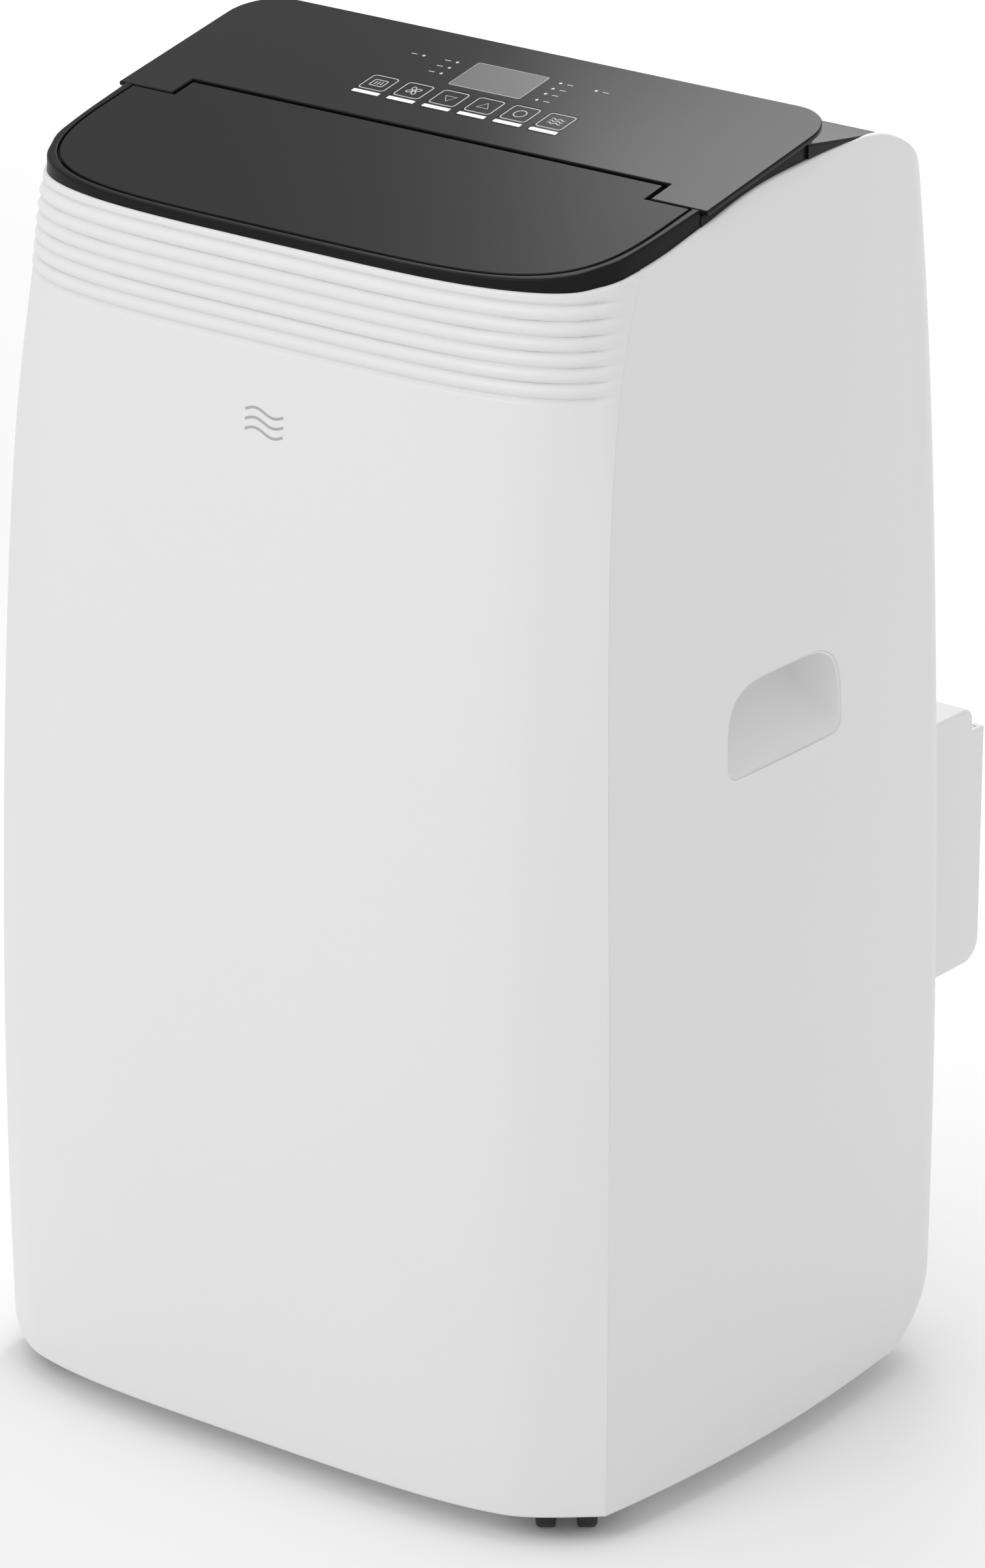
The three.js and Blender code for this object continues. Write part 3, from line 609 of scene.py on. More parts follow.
def rib_offset(z, s):
    """Swelling bands between narrow grooves, dying out toward the side crease."""
    fade = smooth((1 - abs(s)) * 22)
    low = RIB_TOP - RIB_PITCH * (RIB_COUNT - 1)
    across = abs(((RIB_TOP - z) / RIB_PITCH) % 1.0 * 2 - 1)
    band = (1 - across**1.7) ** 0.75
    off = RIB_DEPTH - (RIB_DEPTH + RIB_SWELL) * band
    if z > RIB_TOP:
        off = RIB_DEPTH * smooth(1 - (z - RIB_TOP) / 2.6)
    if z < low:
        off = RIB_DEPTH * smooth(1 - (low - z) / 3.4)
    return off * fade


INNER_ROWS = (640, 560, 460, 350, 250, 160, 74, 48, 32, 22, BODY_BOTTOM)


def skin_rows(top, ribs):
    """(height, inset) pairs of one column: outer wall, rounded rim, inner wall, foot."""
    rows = [(BODY_BOTTOM, 1.6), (BODY_BOTTOM + 0.4, 0.7), (BODY_BOTTOM + 1.6, 0)]
    plain_top = RIB_TOP - RIB_PITCH * RIB_COUNT
    roll_top = BODY_BOTTOM + TUCK_HEIGHT
    rolled = 14
    for i in range(1, rolled + 1):
        rows.append((BODY_BOTTOM + 1.6 + (TUCK_HEIGHT - 1.6) * (i / rolled) ** 1.5, 0))
    plain = 40
    for i in range(1, plain + 1):
        rows.append((roll_top + (plain_top - roll_top) * i / plain, 0))
    upper = 110 if ribs else 16
    end = top - 1.6
    for i in range(1, upper + 1):
        rows.append((plain_top + (end - plain_top) * i / upper, 0))
    for a in (30, 60, 90):
        t = math.radians(a)
        rows.append((end + 1.6 * math.sin(t), 1.6 * (1 - math.cos(t))))
    return rows + [(top - 0.3, WALL), (top - 8, WALL)] + [(z, WALL) for z in INNER_ROWS]


def front_skin():
    columns = []
    count = 130
    for i in range(count + 1):
        s = -math.cos(math.pi * i / count) * 0.35 + (2 * i / count - 1) * 0.65
        top = edge_height(lambda z: front_at(s, z, 0)[1])
        column = []
        for z, off in skin_rows(top, True):
            if off == 0:
                off = rib_offset(z, s)
            x, y = front_at(s, z, off)
            column.append((x, y, z))
        columns.append(column)
    return loft("front_skin", columns, 30)


def rear_columns():
    """(stretch, place along it, side) of each column, round the back from right to left."""
    right = [("side", i / 56) for i in range(56)]
    right += [("corner", i / 16) for i in range(16)]
    right += [("back", i / 26) for i in range(27)]
    return [(k, t, 1) for k, t in right] + [(k, t, -1) for k, t in reversed(right[:-1])]


def shelf_corner(angle, grow):
    """Rounded rear corner of the mouth: the lower outline of the black shelf, grown outward."""
    side = side_x(SHELF_BACK - 8, 740) - 1
    a = math.radians(angle)
    r = 8 - 2.6 * math.cos(a) ** 2 + grow
    return (side - 8 + r * math.cos(a), SHELF_BACK - 8 + r * math.sin(a))


def roof_inner(kind, t, y):
    """Mouth boundary that a roof column runs to, on the right half; None where only a lip is left."""
    start = SHELF_BACK - 8
    if kind == "side":
        if y <= start:
            return None
        return shelf_corner(90 * min(1.0, (y - start) / 34), 0.6)
    x, back = shelf_corner(90, 0.6)
    if kind == "corner":
        return (x, back)
    return (x * (1 - t), back)


def rear_skin():
    """Sides, back and roof in one skin, open at the mouth and along the front seam."""
    columns = []
    roof_steps = 26
    lip = 1.8
    for kind, t, side in rear_columns():
        top = edge_height(lambda z: rear_at(kind, t, z, 0)[1])
        rows = skin_rows(top, False)
        column = []
        for z, off in rows[: -2 - len(INNER_ROWS)]:
            x, y = rear_at(kind, t, z, off)
            column.append((side * x, y, z))
        edge = rear_at(kind, t, top, lip)
        rim = rear_at(kind, t, top, 0)
        target = roof_inner(kind, t, rim[1])
        only_lip = target is None
        if only_lip:
            target = rear_at(kind, t, top, 3.0)
        spread = []
        for k in range(1, roof_steps + 1):
            f = k / roof_steps
            x = edge[0] + (target[0] - edge[0]) * f
            y = edge[1] + (target[1] - edge[1]) * f
            spread.append((x, y, top - 0.05 * f if only_lip else edge_z(y)))
        column += [(side * x, y, z) for x, y, z in spread]
        x, y, z = spread[-1]
        for drop in (0.8, 4):
            column.append((side * x, y, z - drop))
        pull = (0.0, 0.0) if only_lip else (1.5, 2.0)
        for k in (18, 10, 3):
            x, y, z = spread[k]
            column.append((side * (x - pull[0]), y - pull[1], z - 4.5))
        low = min(top - 10, 700)
        for z in (low,) + INNER_ROWS:
            x, y = rear_at(kind, t, min(z, low), WALL)
            column.append((side * x, y, min(z, low)))
        columns.append(column)
    return loft("rear_skin", columns, 30)


# ---------------------------------------------------------------- grips
def grip_outline(grow):
    """Recess outline in side view: low soft corners and a broad arched top."""
    g = GRIP
    mid = (g["y0"] + g["y1"]) / 2
    half = (g["y1"] - g["y0"]) / 2 + grow
    base = g["z0"] + 8
    points = []
    for i in range(41):
        t = math.pi * i / 40
        c = math.cos(t)
        y = mid + half * math.copysign(abs(c) ** 0.5, c)
        points.append((y, base + (g["top"] - base + grow) * math.sin(t) ** 0.55))
    points += arc(g["y0"] + 8, base, 8 + grow, 180, 270, 6)[1:]
    points += arc(g["y1"] - 8, base, 8 + grow, 270, 360, 6)[:-1]
    return points


def grip_cup(side):
    """Scooped recess lining: the floor and end walls slope in toward the top of the mouth."""
    outline = grip_outline(-GRIP_FIT)
    mid_y = (GRIP["y0"] + GRIP["y1"]) / 2
    depth = GRIP_DEPTH
    lip = 1.3

    def ring(off, deep, lean):
        out = []
        for y, z in inset(outline, off):
            run = (y - mid_y) * (1 - 0.24 * lean)
            fall = (GRIP["top"] - z) * (1 - 0.66 * lean)
            out.append((side * (side_x(y, z) - deep), mid_y + run, GRIP["top"] - fall))
        return out

    quarter = [math.pi / 2 * i / 5 for i in range(6)]
    inner = [ring(lip * (1 - math.cos(t)), lip * math.sin(t), 0) for t in quarter]
    inner += [ring(lip + 0.8 * f, lip + (depth - lip) * f, f) for f in (0.02, 0.2, 0.4, 0.6, 0.8, 0.95)]
    inner += [ring(3.4, depth - 0.5, 1), ring(6, depth, 1), ring(14, depth, 1)]
    outer = [ring(0, 3, 0), ring(0, depth * 0.5, 0.46), ring(0, depth, 0.94)]
    outer += [ring(5, depth + 2, 1), ring(14, depth + 2.2, 1)]
    name = "grip_lining_right" if side > 0 else "grip_lining_left"
    return loft(name, list(reversed(inner)) + outer, 30)


def grip_cutter(side):
    x0, x1 = (150, 240) if side > 0 else (-240, -150)
    outline = grip_outline(GRIP_FIT)
    return loft("grip_cutter", [[(x, y, z) for y, z in outline] for x in (x0, x1)])


def build_casing():
    dress(front_skin(), "casing", "casing_white", "front_panel")
    shell = rear_skin()
    cutters = [grip_cutter(1), grip_cutter(-1)]
    y0, y1 = 230, 290
    for half, z0, z1 in (UPPER, LOWER):
        opening = rounded(-half - 0.4, half + 0.4, z0 - 0.4, z1 + 0.4, 6)
        cutters.append(through_back("window", opening, y0, y1))
    e = EXHAUST
    cutters.append(box("hole", e["x0"] - 0.3, e["x1"] + 0.3, y0, y1, e["z0"] - 0.3, e["z1"] + 0.3))
    for at, r in ((UPPER_DRAIN, DRAIN_R), (LOWER_DRAIN, DRAIN_R), (GLAND, GLAND_R)):
        cutters.append(turned("hole", "y", at, [(y0, r), (y1, r)]))
    boolean(shell, cutters, angle=30)
    dress(shell, "casing", "casing_white", "rear_shell")
    dress(grip_cup(1), "casing", "casing_white", "handle_right")
    dress(grip_cup(-1), "casing", "casing_white", "handle_left")


# ---------------------------------------------------------------- black top
def flap_outline(grow, back):
    """Lid outline on the slope: a broad arch at the front, straight across at its back."""
    n = 56
    w = FLAP_HALF_W + grow
    points = []
    for i in range(n + 1):
        t = math.pi * (1 - i / n)
        c = math.cos(t)
        s = max(0.0, math.sin(t))
        points.append((w * math.copysign(abs(c) ** 0.42, c), -20 - (109 + grow) * s**0.5))
    if back > points[-1][1] + 0.05:
        points += [(w, back), (-w, back)]
    return points


def panel_outline():
    """Control panel outline on the slope, with an ear at each side of the lid."""
    w = COVER_HALF_W
    back = PANEL_BACK_U - PANEL_R
    points = [(-EAR_X, 0), (-EAR_X, EAR_U), (-w, EAR_U)]
    points += arc(-w + PANEL_R, back, PANEL_R, 180, 90, 12)
    points += arc(w - PANEL_R, back, PANEL_R, 90, 0, 12)
    points += [(w, EAR_U), (EAR_X, EAR_U), (EAR_X, 0)]
    return points[::-1]


def rim_wall(inner_inset):
    """Plan points of the casing's inner face at the height of the slope, left ear to right ear."""
    right = []
    for i in range(81):
        s = i / 80
        y = -80.0
        for _ in range(8):
            x, y = front_at(s, slope_z(y), inner_inset)
        right.append((x, y))
    for i in range(1, 41):
        t = i / 40 * 0.22
        y = 0.0
        for _ in range(8):
            x, y = rear_at("side", t, slope_z(y), inner_inset)
        right.append((x, y))
    left = [(-x, y) for x, y in reversed(right[1:])]
    return left + right


def ray_hit(line, origin, toward):
    """Where the ray from origin through a point meets a line."""
    dx, dy = toward[0] - origin[0], toward[1] - origin[1]
    for a, b in zip(line, line[1:]):
        ex, ey = b[0] - a[0], b[1] - a[1]
        det = dx * ey - dy * ex
        if abs(det) < 1e-12:
            continue
        t = ((a[0] - origin[0]) * ey - (a[1] - origin[1]) * ex) / det
        f = ((a[0] - origin[0]) * dy - (a[1] - origin[1]) * dx) / det
        if t > 0.5 and -1e-9 <= f <= 1 + 1e-9:
            return (a[0] + ex * f, a[1] + ey * f)
    return toward


def build_rim():
    """Black surround of the lid: a U-shaped band with a rounded outer shoulder."""
    outer = rim_wall(1.0)
    center = (0.0, 12.0)
    inner = flap_outline(1.4, -20)
    inner = [(-FLAP_HALF_W - 1.4, EAR_U - 0.6)] + inner + [(FLAP_HALF_W + 1.4, EAR_U - 0.6)]
    loops = []
    for x, u in inner:
        ix, iy, _ = on_slope(x, u, 0)
        ox, oy = ray_hit(outer, center, (ix, iy))
        ln = math.hypot(ox - ix, oy - iy) or 1
        dx, dy = (ox - ix) / ln, (oy - iy) / ln

        def at(back, down, outer_side=True):
            bx, by = (ox - dx * back, oy - dy * back) if outer_side else (ix + dx * back, iy + dy * back)
            return (bx, by, slope_z(by) - down)

        foot = max(3.0, slope_z(oy) - edge_z(oy) + 2.6)
        r = 1.3
        loop = [at(0.0, foot)]
        for k in range(5):
            a = math.pi / 2 * k / 4
            loop.append(at(r * (1 - math.cos(a)), r * (1 - math.sin(a))))
        for k in range(4):
            a = math.pi / 2 * k / 3
            loop.append(at(0.7 * (1 - math.sin(a)), 0.7 * (1 - math.cos(a)), False))
        loop.append(at(0, 7.5, False))
        loop.append(at(1.4, 7.5, False))
        loop.append(at(1.4, 4.0, False))
        loop.append(at(1.6, max(4.0, foot - 1.0)))
        loop.append(at(1.6, foot))
        loops.append(loop)
    rim = loft("lid_surround", loops, 40)
    dress(rim, "casing", "trim_black", "top_cover")


def build_block():
    """Side and back walls that carry the control panel above the white edge."""
    path = []
    back_y = PLANE_Y + PANEL_BACK_U * math.cos(TILT)
    start = on_slope(0, EAR_U, 0)[1]
    for i in range(31):
        y = start + (back_y - PANEL_R - start) * i / 30
        path.append((side_x(y, slope_z(y) - 4) - 1.0, y))
    x_end = path[-1][0]
    path += arc(x_end - PANEL_R, back_y - PANEL_R, PANEL_R, 0, 90, 12)[1:]
    path += [(-x, y) for x, y in reversed(path)]
    n = len(path)
    loops = []
    for i, (x, y) in enumerate(path):
        px, py = path[max(0, i - 1)]
        qx, qy = path[min(n - 1, i + 1)]
        ln = math.hypot(qx - px, qy - py)
        nx, ny = (qy - py) / ln, -(qx - px) / ln
        foot = min(edge_z(min(y, 148)) - 2.5, SHELF_Z - 3)
        loop = []
        for off, z in ((0, foot), (0, slope_z(y) - 4.4), (0.25, slope_z(y) - 3.7), (1.0, slope_z(y) - 3.45)):
            loop.append((x - nx * off, y - ny * off, z))
        loop.append((x - nx * 3, y - ny * 3, slope_z(y) - 3.45))
        loop.append((x - nx * 3, y - ny * 3, foot))
        loops.append(loop)
    dress(loft("panel_riser", loops, 40), "casing", "trim_black", "top_cover")


def shelf_z(y):
    return SHELF_Z - SHELF_FALL * (y - 150)


def build_shelf():
    """Shelf behind the panel: falls gently back, overlaps the white edge at its sides."""
    start = SHELF_BACK - 8
    right = []
    for i in range(25):
        y = 118 + (start - 118) * i / 24
        x = side_x(y, 740)
        right.append(((x - 1, y), (x - 3.6, y), (1.0, 0.0)))
    side = side_x(start, 740) - 1
    for i in range(1, 13):
        angle = 90 * i / 12
        a = math.radians(angle)
        upper = (side - 8 + 8 * math.cos(a), start + 8 * math.sin(a))
        right.append((upper, shelf_corner(angle, 0), (math.cos(a), math.sin(a))))
    left = [((-u[0], u[1]), (-v[0], v[1]), (-n[0], n[1])) for u, v, n in reversed(right)]
    loops = [[] for _ in range(11)]
    r = 1.6
    for (ux, uy), (lx, ly), (nx, ny) in right + left:
        top = shelf_z(uy)
        foot = min(edge_z(uy) + 0.4, top - r - 0.3)
        line = [(lx, ly, foot - 8), (lx, ly, foot), (ux, uy, foot)]
        for k in range(6):
            a = math.pi / 2 * k / 5
            off = r * (1 - math.cos(a))
            line.append((ux - nx * off, uy - ny * off, top - r * (1 - math.sin(a))))
        for off in (r + 0.3, r + 5):
            line.append((ux - nx * off, uy - ny * off, shelf_z(uy - ny * off)))
        for loop, place in zip(loops, line):
            loop.append(place)
    dress(loft("rear_shelf", loops, 40), "casing", "trim_black", "top_cover")


def build_well():
    """Floor under the lid, the mouth of the outlet and the lugs that carry the lid's pin."""
    outline = flap_outline(3.0, 12.0)
    floor = plate("lid_well", outline, -6.4, -4.2, 0.4, on_slope, steps=1)
    boolean(floor, [upright("cut", rounded(*THROAT, THROAT_R), 640, 800)])
    dress(floor, "casing", "trim_black", "top_cover")
    loops = []
    for grow, top in ((0, True), (-1.6, True), (-1.6, False), (0, False)):
        ring = []
        for x, y in rounded(-171.6 - grow, 171.6 + grow, -72.6 - grow, 22.6 + grow, 12):
            ring.append((x, y, slope_z(y) - 5.2 if top else 700.5))
        loops.append(ring)
    dress(loft("throat_liner", loops, 40, ring=True), "casing", "duct_black", "top_cover")
    for side in (-1, 1):
        x0, x1 = sorted((side * 163.4, side * 171))
        lug = plate(
            "hinge_lug",
            rounded(HINGE_Y - 3.5, HINGE_Y + 14, HINGE_Z - 12, HINGE_Z + 0.6, 1.6),
            x0, x1, 0.6, facing_x, steps=2,
        )
        rows = [(side * 152, 1.4), (side * 152.6, 2), (side * 165, 2)]
        pin = turned("pin", "x", (HINGE_Y, HINGE_Z), rows, 24)
        boolean(lug, [pin], "UNION")
        lug.name = "hinge_lug_right" if side > 0 else "hinge_lug_left"
        dress(lug, "casing", "trim_black", "top_cover")


def key_x(i):
    return (i - (len(KEYS) - 1) / 2) * KEY_PITCH - 0.4


def build_panel():
    panel = plate("control_fascia", panel_outline(), -3, 0, 0.9, on_slope, steps=4)
    cutters = []
    half = KEY_W / 2 + 0.16
    for i in range(len(KEYS)):
        x = key_x(i)
        cutters.append(flat_cut(rounded(x - half, x + half, KEY_U0 - 0.16, KEY_U1 + 0.16, 2.2)))
    x0, x1, u0, u1 = DISPLAY
    cutters.append(flat_cut(rounded(x0 - 0.2, x1 + 0.2, u0 - 0.2, u1 + 0.2, 1.8)))
    boolean(panel, cutters)
    dress(panel, "casing", "panel_gloss", "control_panel")
    window = plate("display_lens", rounded(x0, x1, u0, u1, 1.6), -2.4, -0.05, 0.25, on_slope, steps=3)
    dress(window, "casing", "display_grey", "display_window")
    bezel = ribbon(rounded(x0 + 0.5, x1 - 0.5, u0 + 0.5, u1 - 0.5, 1.4), 0.45, True, -0.03, 0.03)
    dress(join_plain("display_border", [bezel]), "casing", "display_grey", material=PRINT_GREY)
    for name, x, u in (
        ("timer_lamp", -36, 75.4), ("cool_lamp", -36, 68), ("dry_lamp", -36, 60.5), ("signal_lamp", -59, 75),
        ("high_lamp", 34, 76.5), ("medium_lamp", 34, 69.4), ("low_lamp", 34, 62.6), ("auto_lamp", 34, 54.6),
        ("sleep_lamp", 58, 76.6),
    ):
        lens = plate(name, circle(1.0, 20, x, u), -0.3, 0.1, 0.08, on_slope, steps=2)
        dress(lens, "casing", "panel_gloss", material=LAMP)
        side = 6.5 if x > 0 else -6.5
        tick = ribbon([(x + side - 2, u), (x + side + 2, u)], 0.7, False)
        dress(join_plain(name + "_tick", [tick]), "casing", "panel_gloss", material=PRINT_GREY)


def flat_cut(outline):
    return loft("cut", [[on_slope(x, u, w) for x, u in outline] for w in (-9, 9)])


def ribbon(line, width, closed=True, w0=0.0, w1=0.07, place=None):
    """A printed stroke of even width along a flat line."""
    place = place or on_slope
    n = len(line)
    edges = []
    for i, (x, y) in enumerate(line):
        px, py = line[i - 1] if closed or i else line[i]
        qx, qy = line[(i + 1) % n] if closed or i < n - 1 else line[i]
        ln = math.hypot(qx - px, qy - py) or 1e-9
        nx, ny = -(qy - py) / ln * width / 2, (qx - px) / ln * width / 2
        edges.append((x + nx, y + ny, x - nx, y - ny))
    loops = []
    for ax, ay, bx, by in edges:
        loops.append([place(ax, ay, w1), place(bx, by, w1), place(bx, by, w0), place(ax, ay, w0)])
    return loft("stroke", loops, 30, ring=closed)


def join_plain(name, objs):
    out = join(name, objs)
    finish_mesh(out, 30)
    return out


def icon(kind, x, u):
    """Strokes of one key symbol about (x, u)."""
    w = STROKE
    if kind == "timer":
        box_line = ribbon(rounded(x - 4.4, x + 4.4, u - 3.4, u + 3.4, 0.8, 3), w)
        bars = [ribbon([(x + d, u - 1.8), (x + d, u + 1.8)], w, False) for d in (-2, 0, 2)]
        return [box_line] + bars
    if kind == "fan_speed":
        out = []
        for k in range(4):
            a = math.radians(90 * k + 30)
            ca, sa = math.cos(a), math.sin(a)
            line = []
            for i in range(13):
                t = 2 * math.pi * i / 13
                bx, by = 2.6 + 1.9 * math.cos(t), 1.25 * math.sin(t)
                line.append((x + bx * ca - by * sa, u + bx * sa + by * ca))
            out.append(ribbon(line, w))
        return out
    if kind in ("down", "up"):
        s = -1 if kind == "down" else 1
        return [ribbon([(x - 3.8, u - 2.3 * s), (x + 3.8, u - 2.3 * s), (x, u + 3.4 * s)][:: s], w)]
    if kind == "mode":
        return [ribbon(circle(3.7, 28, x, u), w)]
    out = []
    for row in (-2.4, 0, 2.4):
        line = [(x - 4.5 + 9 * i / 14, u + row + 0.7 * math.sin(i / 14 * 4 * math.pi)) for i in range(15)]
        out.append(ribbon(line, w, False))
    return out


def build_keys():
    for i, kind in enumerate(KEYS):
        x = key_x(i)
        body = f"key_{kind}_body"
        outline = rounded(x - KEY_W / 2, x + KEY_W / 2, KEY_U0, KEY_U1, 2.0)
        cap = plate(f"{kind}_cap", outline, -2.2, -0.02, 0.3, on_slope, steps=3)
        stem = plate("stem", rounded(x - 3, x + 3, 30, 38, 1), -4.6, -1.8, 0.3, on_slope, steps=2)
        boolean(cap, [stem], "UNION")
        dress(cap, body, "key_gloss", f"key_{kind}")
        outline = rounded(x - 9.2, x + 9.2, 23.3, 26.6, 0.5, 3)
        bar = plate(f"{kind}_bar", outline, -0.1, 0.06, 0.05, on_slope, steps=1)
        dress(bar, body, "key_gloss", material=PRINT)
        frame_line = ribbon(rounded(x - 8.6, x + 8.6, 28.8, 44.8, 2.2), STROKE)
        strokes = icon(kind, x, 36.8)
        dress(join_plain(f"{kind}_symbol", [frame_line] + strokes), body, "key_gloss", material=PRINT_GREY)


def build_flap():
    tongue = EAR_X - 2.8
    outline = flap_outline(0, EAR_U - 1.2)
    outline += [(tongue, -20), (tongue, -3.2), (-tongue, -3.2), (-tongue, -20)]
    blade = plate("lid_blade", outline, -3, 0, 0.7, on_slope, steps=4)
    at = (HINGE_Y, HINGE_Z)
    end = [(159.4, 3.6), (159.0, 4.3), (158.4, HINGE_R)]
    barrel = turned("barrel", "x", at, [(-x, r) for x, r in end] + end[::-1])
    outline = rounded(HINGE_Y - 9, HINGE_Y, HINGE_Z - 1.6, HINGE_Z + 2.4, 1)
    spots = (-140, -84, -28, 28, 84, 140)
    webs = [plate("web", outline, x - 2, x + 2, 0.4, facing_x, steps=1) for x in spots]
    bores = [turned("cut", "x", at, [(a, 2.5), (b, 2.5)], 24) for a, b in ((-170, -150), (150, 170))]
    boolean(barrel, webs, "UNION")
    boolean(barrel, bores)
    dress(blade, "flap", "trim_black", "air_flap")
    dress(barrel, "flap", "trim_black", "air_flap")


def vane_x(i):
    return (i - (VANES - 1) / 2) * VANE_PITCH


def build_duct():
    loops = []
    x0, x1, y0, y1 = THROAT
    for grow, z in ((3, 648), (3, 700), (0, 700), (0, 648)):
        outline = rounded(x0 - grow, x1 + grow, y0 - grow, y1 + grow, THROAT_R + grow)
        loops.append([(x, y, z) for x, y in outline])
    duct = loft("outlet_duct", loops, 40, ring=True)
    cutters = [turned("cut", "y", (vane_x(i), VANE_Z), [(-90, 2.6), (40, 2.6)], 20) for i in range(VANES)]
    boolean(duct, cutters)
    dress(duct, "casing", "duct_black", "air_outlet_duct")
    for i in range(VANES):
        x = vane_x(i)
        blade_line = []
        for k in range(24):
            a = 2 * math.pi * k / 24
            blade_line.append((x + 1.15 * math.sin(a), VANE_Z + 14 * math.cos(a)))
        blade = plate("vane_form", blade_line[::-1], -62, 12, 0.5, facing_y, steps=2)
        hub = turned("hub", "y", (x, VANE_Z), [(-62, 2.9), (-61.4, 3.4), (11.4, 3.4), (12, 2.9)], 24)
        pin = turned("pin", "y", (x, VANE_Z), [(-73, 1.8), (-72.6, 2.1), (22.6, 2.1), (23, 1.8)], 20)
        arm = box("arm", x - 1.1, x + 1.1, -30, -24, VANE_Z - 25, VANE_Z)
        rows = [(-34, 1.5), (-33.7, 1.8), (-20.3, 1.8), (-20, 1.5)]
        crank = turned("crank", "y", (x, LINK_Z), rows, 20)
        boolean(blade, [hub, pin, arm, crank], "UNION")
        blade.name = f"vane_{i + 1}_form"
        dress(blade, f"vane_{i + 1}_body", "trim_black", f"vane_{i + 1}")
    outline = rounded(vane_x(0) - 6, vane_x(VANES - 1) + 6, LINK_Z - 4.5, LINK_Z + 4.5, 4.4)
    bar = plate("link_bar", outline, -33, -31, 0.4, facing_y, steps=2)
    cutters = [turned("cut", "y", (vane_x(i), LINK_Z), [(-40, 2.5), (-28, 2.5)], 20) for i in range(VANES)]
    boolean(bar, cutters)
    dress(bar, "link", "trim_black", "vane_link")


# ---------------------------------------------------------------- exhaust and inlets
def build_housing():
    """Hose box: rounded in side view, stepped at the top, with rails for the sliding plate."""
    e = EXHAUST
    r = BORE["r"]
    outline = [(e["y0"] - 6, e["z0"])]
    outline += arc(e["y2"] - 14, e["z0"] + 14, 14, 270, 360, 10)
    outline += [(e["y2"], e["step"]), (e["y1"], e["step"])]
    outline += arc(e["y1"] - 8, e["z1"] - 8, 8, 0, 90, 8)
    outline += [(e["y0"] - 6, e["z1"])]
    body = plate("hose_housing", outline, e["x0"], e["x1"], 1.6, facing_x, steps=4, angle=40)
    profile = [(230, r), (e["y1"] - 2, r), (e["y1"] + 1, r + 2.6), (340, r + 2.6)]
    hole = turned("cut", "y", (BORE["x"], BORE["z"]), profile, 96)
    z0, z1 = e["z0"] + 14, e["step"] + 1
    wide = box("cut", e["x0"] + 3, e["x1"] - 3, e["y1"], e["y2"] - 3.5, z0, z1)
    narrow = box("cut", e["x0"] + 7, e["x1"] - 7, e["y1"], e["y2"] + 2, z0, z1)
    boolean(body, [hole, wide, narrow], angle=40)
    dress(body, "casing", "casing_white", "exhaust_outlet")


def build_adapter():
    """Hose plate: runs in the rails, with a raised face and four bayonet notches."""
    e = EXHAUST
    x, z, r = BORE["x"], BORE["z"], BORE["r"]
    y1, y2 = e["y1"], e["y2"]
    foot = e["z0"] + 14.5
    outline = rounded(e["x0"] + 3.5, e["x1"] - 3.5, foot, e["step"], 2)
    slide = plate("adapter_slide", outline, y1 + 0.5, y2 - 4, 0.5, facing_y, steps=2)
    outline = rounded(e["x0"] + 7.5, e["x1"] - 7.5, foot, e["step"], 3)
    boolean(slide, [plate("face", outline, y1 + 2, y2, 1.0, facing_y, steps=3)], "UNION")
    profile = [(300, r), (y2 - 3.0, r), (y2 - 1.6, r + 0.4), (y2 - 0.5, r + 1.4), (y2 + 0.2, r + 3.0)]
    boolean(slide, [turned("cut", "y", (x, z), profile + [(340, r + 3.0)], 96)])
    cutters = []
    for k in range(4):
        a = math.radians(45 + 90 * k)
        at = (x + (r - 1) * math.cos(a), z + (r - 1) * math.sin(a))
        cutters.append(turned("cut", "y", at, [(300, 5), (y2 - 4, 5)], 24))
    boolean(slide, cutters, angle=40)
    dress(slide, "adapter", "casing_white", "hose_adapter")


def build_grille(zone, tag):
    """Inlet panel with three columns of flared slots, and the filter behind it."""
    half, z0, z1 = zone

    def place(x, z, w):
        return (x, back_wall(z) + w, z)

    outline = rounded(-half, half, z0, z1, 5, 8)
    panel = plate(f"{tag}_louvre", outline[::-1], -9.2, 0, 0.8, place, steps=3)
    inner = rounded(-half + 6, half - 6, z0 + 6, z1 - 6, 3)
    cutters = [through_back("cut", inner, 235, 250)]
    rows = int((z1 - z0 - 16) // 18)
    pitch = (z1 - z0 - 16) / rows
    slots = []
    for i in range(rows):
        z = z0 + 8 + pitch * (i + 0.5)
        for a, b in ((-half + 10, -54), (-48, 48), (54, half - 10)):
            slot = rounded(a, b, z - pitch * 0.3, z + pitch * 0.3, pitch * 0.29, 6)
            wide = inset(slot, -0.9)
            back = back_wall(z)
            loops = [[(x, 235, zz) for x, zz in slot], [(x, back - 1.4, zz) for x, zz in slot]]
            loops += [[(x, back + 0.2, zz) for x, zz in wide], [(x, 275, zz) for x, zz in wide]]
            slots.append(loft("cut", loops))
    cutters.append(join("cuts", slots))
    boolean(panel, cutters, angle=30)
    dress(panel, f"{tag}_inlet", "casing_white", f"{tag}_grille")
    refined(f"{tag}_filter", 0.4, f"{tag}_screen", "filter_mesh")


def build_screws():
    """Cross-head screws that hold the rear shell, each in a shallow seat."""
    spots = [(side * 163.4, z) for z in (690, 410, 120) for side in (-1, 1)]
    for n, (x, z) in enumerate(spots):
        y = back_wall(z)
        rows = [(y - 1.0, 3.4), (y + 0.2, 3.4), (y + 0.55, 3.0), (y + 0.75, 1.6)]
        head = turned("screw", "y", (x, z), rows, 32)
        cross = [box("cut", x - w, x + w, y - 0.1, y + 2, z - h, z + h) for w, h in ((2, 0.35), (0.35, 2))]
        boolean(head, cross)
        head.name = f"screw_{n + 1}"
        dress(head, "casing", "steel")


